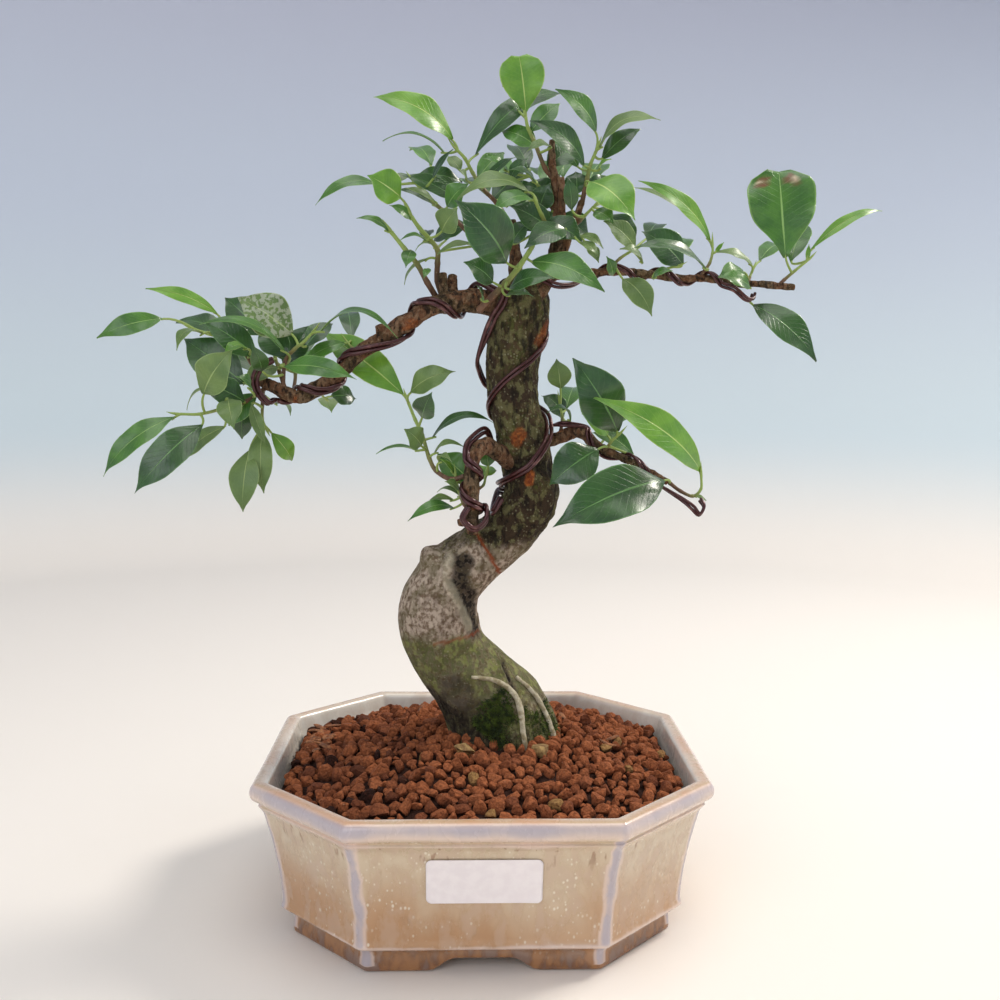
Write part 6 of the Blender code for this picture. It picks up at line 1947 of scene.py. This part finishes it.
@dataclass
class AerialRoots(Maker):
    """Pale roots that run down the trunk's front into the soil."""

    size: float = 3.0
    sides: int = 20
    steps: int = 14
    stops: dict = field(default_factory=lambda: {
        "aerial_root_front": [
            (0.245, 12), (0.222, 30), (0.20, 38), (0.175, 34), (0.14, 24), (0.09, 19), (0.05, 16), (0.02, 15),
        ],
        "aerial_root_right": [(0.20, 60), (0.17, 61), (0.14, 62), (0.115, 60), (0.09, 57), (0.05, 52), (0.02, 50)],
    })

    def build(self) -> None:
        """Makes the roots."""
        noise = Noise(10)
        for name, stops in self.stops.items():
            rows = []
            for k, (share, angle) in enumerate(stops):
                radius = self.size / 2 * (0.55 + 0.3 * min(k, 3) / 3)
                rows.append((*on_stem(TRUNK, share, angle, 0.4, 2 * radius - 1.0), radius))
            stem = Stem(rows, self.sides, self.steps)
            bumps = noise.layered(stem.points, (1.8, 1.8, 2.6), 3) * 0.22
            stem.points = stem.points + stem.outward * bumps[:, None]
            builder = Builder()
            stem.add_to(builder)
            Piece(name, "aerial_root", [self.looks.root_skin]).settle(builder.build(f"{name}_skin", self.place))


@dataclass
class Moss(Maker):
    """Cushions of moss round the foot of the trunk, made of small bunches of pointed blades."""

    pads: dict = field(default_factory=lambda: {
        "moss_left": (-22, 38, 0.05, 0.205, 1300),
        "moss_right": (38, 86, 0.05, 0.15, 900),
    })
    blades: int = 7
    longest: float = 2.1

    def build(self) -> None:
        """Makes both cushions."""
        rng = np.random.default_rng(21)
        clumps = Noise(22)
        for name, (left, right, low, high, count) in self.pads.items():
            builder = Builder()
            placed = 0
            while placed < count:
                share, angle = rng.uniform(low, high), rng.uniform(left, right)
                skin = on_stem(TRUNK, share, angle, -0.2, 0)
                if clumps.at(skin[None], 5.0)[0] < rng.uniform(-0.5, 0.35):
                    continue
                outward = on_stem(TRUNK, share, angle, 1.0, 0) - on_stem(TRUNK, share, angle, 0, 0)
                outward = outward / np.linalg.norm(outward) + (0, 0, 0.45)
                self.bunch(builder, rng, skin, outward / np.linalg.norm(outward))
                placed += 1
            Piece(name, "moss", [self.looks.moss]).settle(builder.build(f"{name}_cushion", self.place, smooth=False))

    def bunch(self, builder: Builder, rng: Generator, foot: Array, outward: Array) -> None:
        """Adds one bunch of blades.

        Args:
            builder: gathers the mesh.
            rng: the random draws.
            foot: where the bunch stands.
            outward: the way that it grows.
        """
        for _ in range(self.blades):
            way = outward + rng.normal(0, 0.55, 3)
            way /= np.linalg.norm(way)
            length = self.longest * rng.uniform(0.4, 1.0)
            side = np.cross(way, rng.normal(size=3))
            side /= np.linalg.norm(side)
            other = np.cross(way, side)
            start = foot + rng.normal(0, 0.35, 3)
            rows = []
            for share, half in ((0.0, 0.14), (0.45, 0.24)):
                middle = start + way * length * share
                for turn in (0, 2 * np.pi / 3, 4 * np.pi / 3):
                    rows.append(middle + (side * math.cos(turn) + other * math.sin(turn)) * half)
            rows.append(start + way * length + side * 0.15 * length)
            ring = ring_faces(2, 3)
            tip = np.array([[3, 4, 6], [4, 5, 6], [5, 3, 6]])
            builder.add(np.array(rows), [ring, tip, np.array([[2, 1, 0]])])


@dataclass
class Stones(Maker):
    """Two pale stones by the foot of the trunk, with hollows and chipped edges."""

    size: float = 7.0
    places: dict = field(default_factory=lambda: {"stone_left": (-7, -19, 1.2), "stone_front": (24, -20, 1.0)})

    def build(self, soil: Soil) -> None:
        """Makes both stones.

        Args:
            soil: the soil that they lie on.
        """
        rng = np.random.default_rng(31)
        noise = Noise(32)
        for name, (x, y, stretch) in self.places.items():
            lumps, faces = turned_grains(rng, 1, 9, fineness=4)
            reach = math.hypot(x - soil.middle[0], y - soil.middle[1]) / 90
            centre = np.array([x, y, float(soil.height(np.array(reach))) + 1.4])
            points = lumps[0] * np.array([stretch, 0.85, 0.78]) * self.size * 0.62
            points += points / np.linalg.norm(points, axis=1)[:, None] * (noise.layered(points, 2.2, 3) * 0.22)[:, None]
            builder = Builder()
            builder.add(points + centre, [faces])
            Piece(name, "stone", [self.looks.stone]).settle(builder.build(f"{name}_chipped", self.place))


# ---------------------------------------------------------------- training wires


@dataclass
class Wires(Maker):
    """The training wires: each a pair of strands laid side by side along the trunk and a branch."""

    sides: int = 12
    steps: int = 5
    sag: float = 0.3

    def path(self, stops: list, size: float) -> Array:
        """A path through a wire's stops, turning round stems by small steps.

        Args:
            stops: points, or places on a stem as its name, share, angle and lift.
            size: the wire's thickness.

        Returns:
            Rows of (x, y, z).
        """
        stems = {"trunk": TRUNK, **BRANCHES}
        coarse, last = [], None
        for stop in stops:
            if not isinstance(stop[0], str):
                coarse.append(np.array(stop, float))
                last = None
                continue
            if last and last[0] == stop[0]:
                reach = max(row[3] for row in stems[stop[0]]) * 0.8
                step = 2 * math.degrees(math.acos(1 - self.sag / reach))
                pieces = max(1, math.ceil(abs(stop[2] - last[2]) / step))
                for k in range(1, pieces):
                    share, angle, lift = (a + (b - a) * k / pieces for a, b in zip(last[1:], stop[1:]))
                    coarse.append(on_stem(stems[stop[0]], share, angle, lift + GAP, size))
            coarse.append(on_stem(stems[stop[0]], stop[1], stop[2], stop[3] + GAP, size))
            last = stop
        return np.array(coarse)

    def build(self) -> None:
        """Makes every strand."""
        axes = np.vstack([smooth_curve(rows, 4)[:, :3] for rows in (TRUNK, *BRANCHES.values())])
        for name, (size, stops) in WIRES.items():
            middle = self.path(stops, size)
            across = np.array([0.0, 0.0, 1.0])
            shifts = []
            for k, point in enumerate(middle):
                tangent = middle[min(k + 1, len(middle) - 1)] - middle[max(k - 1, 0)]
                tangent = tangent / np.linalg.norm(tangent)
                outward = point - axes[np.argmin(np.linalg.norm(axes - point, axis=1))]
                wanted = np.cross(tangent, outward / np.linalg.norm(outward))
                if k and wanted @ across < 0:
                    wanted = across - tangent * (across @ tangent)
                across = wanted / np.linalg.norm(wanted)
                shifts.append(across * (size + WIRE_GAP) / 2)
            for letter, side in (("a", -1), ("b", 1)):
                rows = np.column_stack([middle + side * np.array(shifts), np.full(len(middle), size / 2)])
                fine = smooth_curve(rows, self.steps)
                builder = Builder()
                builder.tube(fine[:, :3], fine[:, 3], self.sides)
                strand = builder.build(f"{name}_{letter}_strand", self.place)
                Piece(f"{name}_{letter}", "wire", [self.looks.wire]).settle(strand)


# ---------------------------------------------------------------- foliage


@dataclass(frozen=True)
class Blemish:
    """A mark on one leaf: its shoot, which leaf, and spots as places along and across the blade, or chalk all over."""

    shoot: str
    leaf: int
    spots: tuple = ()
    chalk: float = 0.0


@dataclass
class Foliage(Maker):
    """Every shoot: a twig, a bud at its tip, and leaves on stalks."""

    rows: int = 22
    columns: int = 12
    fold: float = 0.20
    thickness: float = 0.3
    stalk: float = 1.15
    stalk_steps: int = 6
    bud_length: float = 5.5
    blemishes: tuple = (
        Blemish("right_end_shoot", 0, spots=((0.86, -0.62, 2.6), (0.88, 0.42, 2.3))),
        Blemish("left_top_shoot", 0, chalk=0.4),
    )

    def build(self) -> None:
        """Makes every shoot."""
        rng = np.random.default_rng(41)
        tones = list(Tone)
        finishes = [self.looks.twig, *(self.looks.leaves[tone] for tone in tones)]
        for shoot in SHOOTS:
            builder = Builder()
            path = self.twig(builder, shoot)
            for number, leaf in enumerate(Leaf(*row) for row in shoot.leaves):
                marks = next((m for m in self.blemishes if (m.shoot, m.leaf) == (shoot.name, number)), Blemish("", 0))
                root = path[np.argmin(np.linalg.norm(path - np.array(leaf.base, float), axis=1))]
                self.blade(builder, leaf, root, tones.index(leaf.tone) + 1, marks, rng)
            Piece(shoot.name, "leaf", finishes).settle(builder.build(f"{shoot.name}_leaves", self.place))

    def twig(self, builder: Builder, shoot: Shoot) -> Array:
        """Adds a shoot's twig and bud.

        Args:
            builder: gathers the mesh.
            shoot: the shoot.

        Returns:
            The twig's middle line.
        """
        count = len(shoot.twig)
        rows = [(*at, shoot.thick / 2 * (1.15 - 0.45 * k / (count - 1))) for k, at in enumerate(shoot.twig)]
        fine = smooth_curve(rows, 8)
        shares = np.linspace(0, 1, len(fine))
        joints = 1 + 0.16 * np.exp(-(((shares * (count - 1) + 0.5) % 1 - 0.5) / 0.12) ** 2)
        builder.tube(fine[:, :3], fine[:, 3] * joints, 12, fresh=0.15 + 0.85 * shares)
        end, before = fine[-1], fine[-3]
        way = end[:3] - before[:3]
        way /= np.linalg.norm(way)
        steps = np.linspace(0, 1, 6)
        bend = np.outer(steps**2, (0, 0, 0.8))
        bud = end[:3] + np.outer(steps, way) * self.bud_length + bend
        builder.tube(bud, end[3] * np.array([0.9, 1.15, 1.05, 0.8, 0.45, 0.12]), 10, fresh=1.0)
        return fine[:, :3]

    def blade(
        self, builder: Builder, leaf: Leaf, root: Array, finish: int, marks: Blemish, rng: Generator
    ) -> None:
        """Adds one leaf: its stalk and its thin, folded and arched blade.

        Args:
            builder: gathers the mesh.
            leaf: the leaf.
            root: where its stalk leaves the twig.
            finish: the blade's material number.
            marks: spots or chalk on it.
            rng: the random draws.
        """
        base, tip = np.array(leaf.base, float), np.array(leaf.tip, float)
        length = np.linalg.norm(tip - base)
        along = (tip - base) / length
        turn = math.radians(leaf.face)
        facing = np.array([0.0, -math.sin(turn), math.cos(turn)])
        normal = facing - along * (facing @ along)
        if np.linalg.norm(normal) < 0.15:
            normal = np.array([0.0, 0.0, 1.0]) - along * along[2]
        normal /= np.linalg.norm(normal)
        across = np.cross(along, normal)
        t = 1 - (1 - np.linspace(0, 1, self.rows + 1)) ** 1.15
        u = np.sin(np.linspace(-1, 1, self.columns + 1) * np.pi / 2)
        half = np.interp(t, np.linspace(0, 1, 11), leaf.outline.value) * leaf.width / 2
        half = np.maximum(half, 0.16)
        sway, twist, curl, phase = rng.uniform(-1, 1, 4)
        wave = rng.uniform(0.02, 0.05) * leaf.width
        middle = base + np.outer(t, along) * length
        middle += np.outer(leaf.arch * length * 4 * t * (1 - t) - 0.03 * length * t**6 * (1 + curl), normal)
        middle += np.outer(0.025 * length * sway * np.sin(np.pi * t), across)
        notch = 0.02 * length * smooth_step(t, 0.9, 1.0) if leaf.outline is Outline.SPOON else 0 * t
        height = self.fold * np.abs(u)[None] ** 1.2 * half[:, None]
        height = height + 0.08 * twist * u[None] * half[:, None] * t[:, None]
        height = height - 0.10 * (u[None] ** 2) * half[:, None]
        ripple = t[:, None] * 2.3 + phase + 0.25 * np.sign(u)[None]
        height = height + wave * (u[None] ** 2) * np.sin(2 * np.pi * ripple)
        top = middle[:, None] + across * (u[None, :, None] * half[:, None, None]) + normal * height[..., None]
        top = top + along * (notch[:, None] * (np.abs(u)[None] - 0.5) * 1.2)[..., None]
        inner = 1 - 0.75 * np.abs(u)[None, :, None] ** 6
        rib = np.exp(-((u / 0.11) ** 2))[None, :, None] * (1.05 - t[:, None, None]) * 0.55
        under = top - normal * (self.thickness * inner + rib)
        count = (self.rows + 1) * (self.columns + 1)
        row = self.columns + 1
        face, edge = sheet_faces(self.rows, self.columns)
        after = np.roll(edge, -1)
        seam = np.stack([after, edge, edge + count, after + count], 1)
        along_share = np.repeat(t, row)
        across_share = np.tile(np.linspace(-1, 1, row), self.rows + 1)
        across_share = np.sin(across_share * np.pi / 2)
        spot, spot_rim = np.zeros(count), np.zeros(count)
        for place_along, place_across, reach in marks.spots:
            gap = np.hypot((along_share - place_along) * length, (across_share - place_across) * leaf.width / 2)
            spot = np.maximum(spot, 1 - smooth_step(gap, reach * 0.55, reach * 0.75))
            ring = smooth_step(gap, reach * 0.55, reach * 0.8) * (1 - smooth_step(gap, reach, reach * 1.25))
            spot_rim = np.maximum(spot_rim, ring)
        both = {
            "along": along_share, "across": across_share, "spot": spot, "spot_rim": spot_rim,
            "chalk": np.full(count, marks.chalk),
        }
        values = {name: np.concatenate([numbers, numbers]) for name, numbers in both.items()}
        values["underside"] = np.concatenate([np.zeros(count), np.ones(count)])
        skin = np.vstack([top.reshape(-1, 3), under.reshape(-1, 3)])
        builder.add(skin, [face, face[:, ::-1] + count, seam], finish, **values)
        self.stalk_tube(builder, root, base, along, normal)

    def stalk_tube(
        self, builder: Builder, root: Array, base: Array, along: Array, normal: Array
    ) -> None:
        """Adds a leaf's stalk, curving from the twig into the midrib.

        Args:
            builder: gathers the mesh.
            root: where it leaves the twig.
            base: where the blade starts.
            along: the blade's direction.
            normal: the blade's upper side.
        """
        reach = np.linalg.norm(base - root)
        steps = np.linspace(0, 1, self.stalk_steps + 1)[:, None]
        end = base + along * 1.6 - normal * 0.25
        bend = base - along * reach * 0.35
        path = (1 - steps) ** 2 * root + 2 * steps * (1 - steps) * bend + steps**2 * end
        radii = self.stalk / 2 * (1.0 - 0.3 * steps[:, 0])
        builder.tube(path, radii, 8, fresh=np.full(len(path), 0.95))


# ---------------------------------------------------------------- studio


@dataclass(frozen=True)
class StudioFinish(Finish):
    """The pale floor that turns up into a wall: cream low down, then pale blue, then lavender."""

    cream: Colour = srgb(245, 238, 229)
    pale_blue: Colour = srgb(208, 221, 227)
    sky: Colour = srgb(200, 209, 223)
    lavender: Colour = srgb(196, 199, 215)

    def make(self) -> Material:
        """Makes it."""
        made, sheet, shader = self.start()
        level = sheet.point("height")
        colour = sheet.blend(sheet.span(level, 0.0, 0.16), self.cream, self.pale_blue)
        colour = sheet.blend(sheet.span(level, 0.15, 0.5), colour, self.sky)
        colour = sheet.blend(sheet.span(level, 0.45, 0.95), colour, self.lavender)
        sheet.put(shader.inputs["Base Color"], colour)
        return made


@dataclass
class Light:
    """A soft lamp: where it hangs, in metres from the pot, what it faces, its size, its strength and its colour."""

    name: str
    at: tuple
    size: float
    power: float
    colour: tuple
    faces: tuple = (0.0, 0.0, 0.14)


@dataclass
class Studio(Maker):
    """The floor and wall, the lamps and the camera."""

    floor_radius: float = 0.85
    wall_radius: float = 1.45
    wall_height: float = 1.7
    rings: int = 40
    sides: int = 96
    lens: float = 39.6
    sensor: float = 36.0
    eye: tuple = (-7.58, -453.82, 217.98)
    forward: tuple = (0.0319, 0.9934, -0.1099)
    up: tuple = (-0.0040, 0.1101, 0.9939)
    ambient: float = 0.42
    lights: tuple = (
        Light("key_lamp", (0.8, 0.25, 1.0), 0.35, 9.5, (1.0, 0.94, 0.86)),
        Light("front_lamp", (-0.5, -0.95, 0.75), 0.9, 3.6, (0.95, 0.97, 1.0)),
        Light("top_lamp", (0.0, -0.1, 1.3), 0.9, 4.2, (1.0, 0.99, 0.97)),
    )

    def build(self) -> None:
        """Makes the floor, the lamps, the sky and the camera."""
        self.backdrop()
        middle = self.place.vector(0, 0, 0)
        for light in self.lights:
            lamp = bpy.data.lights.new(light.name, "AREA")
            lamp.shape = "DISK"
            lamp.size, lamp.energy, lamp.color = light.size, light.power, light.colour
            hung = bpy.data.objects.new(light.name, lamp)
            hung.location = middle + Vector(light.at)
            aim = middle + Vector(light.faces) - hung.location
            hung.rotation_euler = aim.to_track_quat("-Z", "Y").to_euler()
            bpy.context.scene.collection.objects.link(hung)
        world = bpy.data.worlds.new("studio air")
        world.use_nodes = True
        world.node_tree.nodes["Background"].inputs["Color"].default_value = (0.97, 0.98, 1.0, 1.0)
        world.node_tree.nodes["Background"].inputs["Strength"].default_value = self.ambient
        bpy.context.scene.world = world
        bpy.context.scene.view_settings.view_transform = "Standard"
        self.camera()

    def backdrop(self) -> None:
        """Makes a round floor whose edge turns up into a wall."""
        shares = np.linspace(0, 1, self.rings)
        bend = (self.wall_radius - self.floor_radius) * np.sin(shares * np.pi / 2)
        reach = np.concatenate([[0.02, 0.2, 0.5], self.floor_radius + bend])
        rise = np.concatenate([[0, 0, 0], self.wall_height * (1 - np.cos(shares * np.pi / 2))])
        turns = 2 * np.pi * np.arange(self.sides) / self.sides
        points, heights = [], []
        for radius, height in zip(reach, rise):
            for turn in turns:
                points.append((radius * math.cos(turn) / MM, radius * math.sin(turn) / MM, height / MM))
                heights.append(height)
        builder = Builder()
        middle = np.arange(self.sides)[::-1][None]
        builder.add(np.array(points), [ring_faces(len(reach), self.sides), middle[:, ::-1]], height=np.array(heights))
        floor = builder.build("studio_floor", self.place)
        floor.data.materials.append(StudioFinish("studio paper", self.looks.effects, 0.8, specular=0.2).make())
        floor.location.z -= 0.0002

    def camera(self) -> None:
        """Sets the camera in front, a little above the pot and looking slightly down."""
        forward, up = Vector(self.forward).normalized(), Vector(self.up)
        right = forward.cross(up).normalized()
        up = right.cross(forward)
        data = bpy.data.cameras.new("camera")
        data.lens, data.sensor_width, data.sensor_fit = self.lens, self.sensor, "HORIZONTAL"
        data.clip_start, data.clip_end = 0.01, 20
        eye = bpy.data.objects.new("camera", data)
        turn = Matrix((right, up, -forward)).transposed().to_4x4()
        eye.matrix_world = Matrix.Translation(self.place.vector(*self.eye)) @ turn
        bpy.context.scene.collection.objects.link(eye)
        bpy.context.scene.camera = eye


def main() -> None:
    """Builds every part of the tree and its studio in order."""
    logging.basicConfig(level=logging.INFO, format="%(message)s")
    place = Place()
    looks = Looks()
    pot, soil = Pot(place, looks), Soil(place, looks)
    pot.build()
    soil.build(pot)
    Label(place, looks).build(pot)
    DrainMeshes(place, looks).dress()
    Stones(place, looks).build(soil)
    for part in (Trunk, Branches, AerialRoots, Moss, Wires, Foliage, Studio):
        part(place, looks).build()
    bpy.context.view_layer.update()


if __name__ == "__main__":
    main()
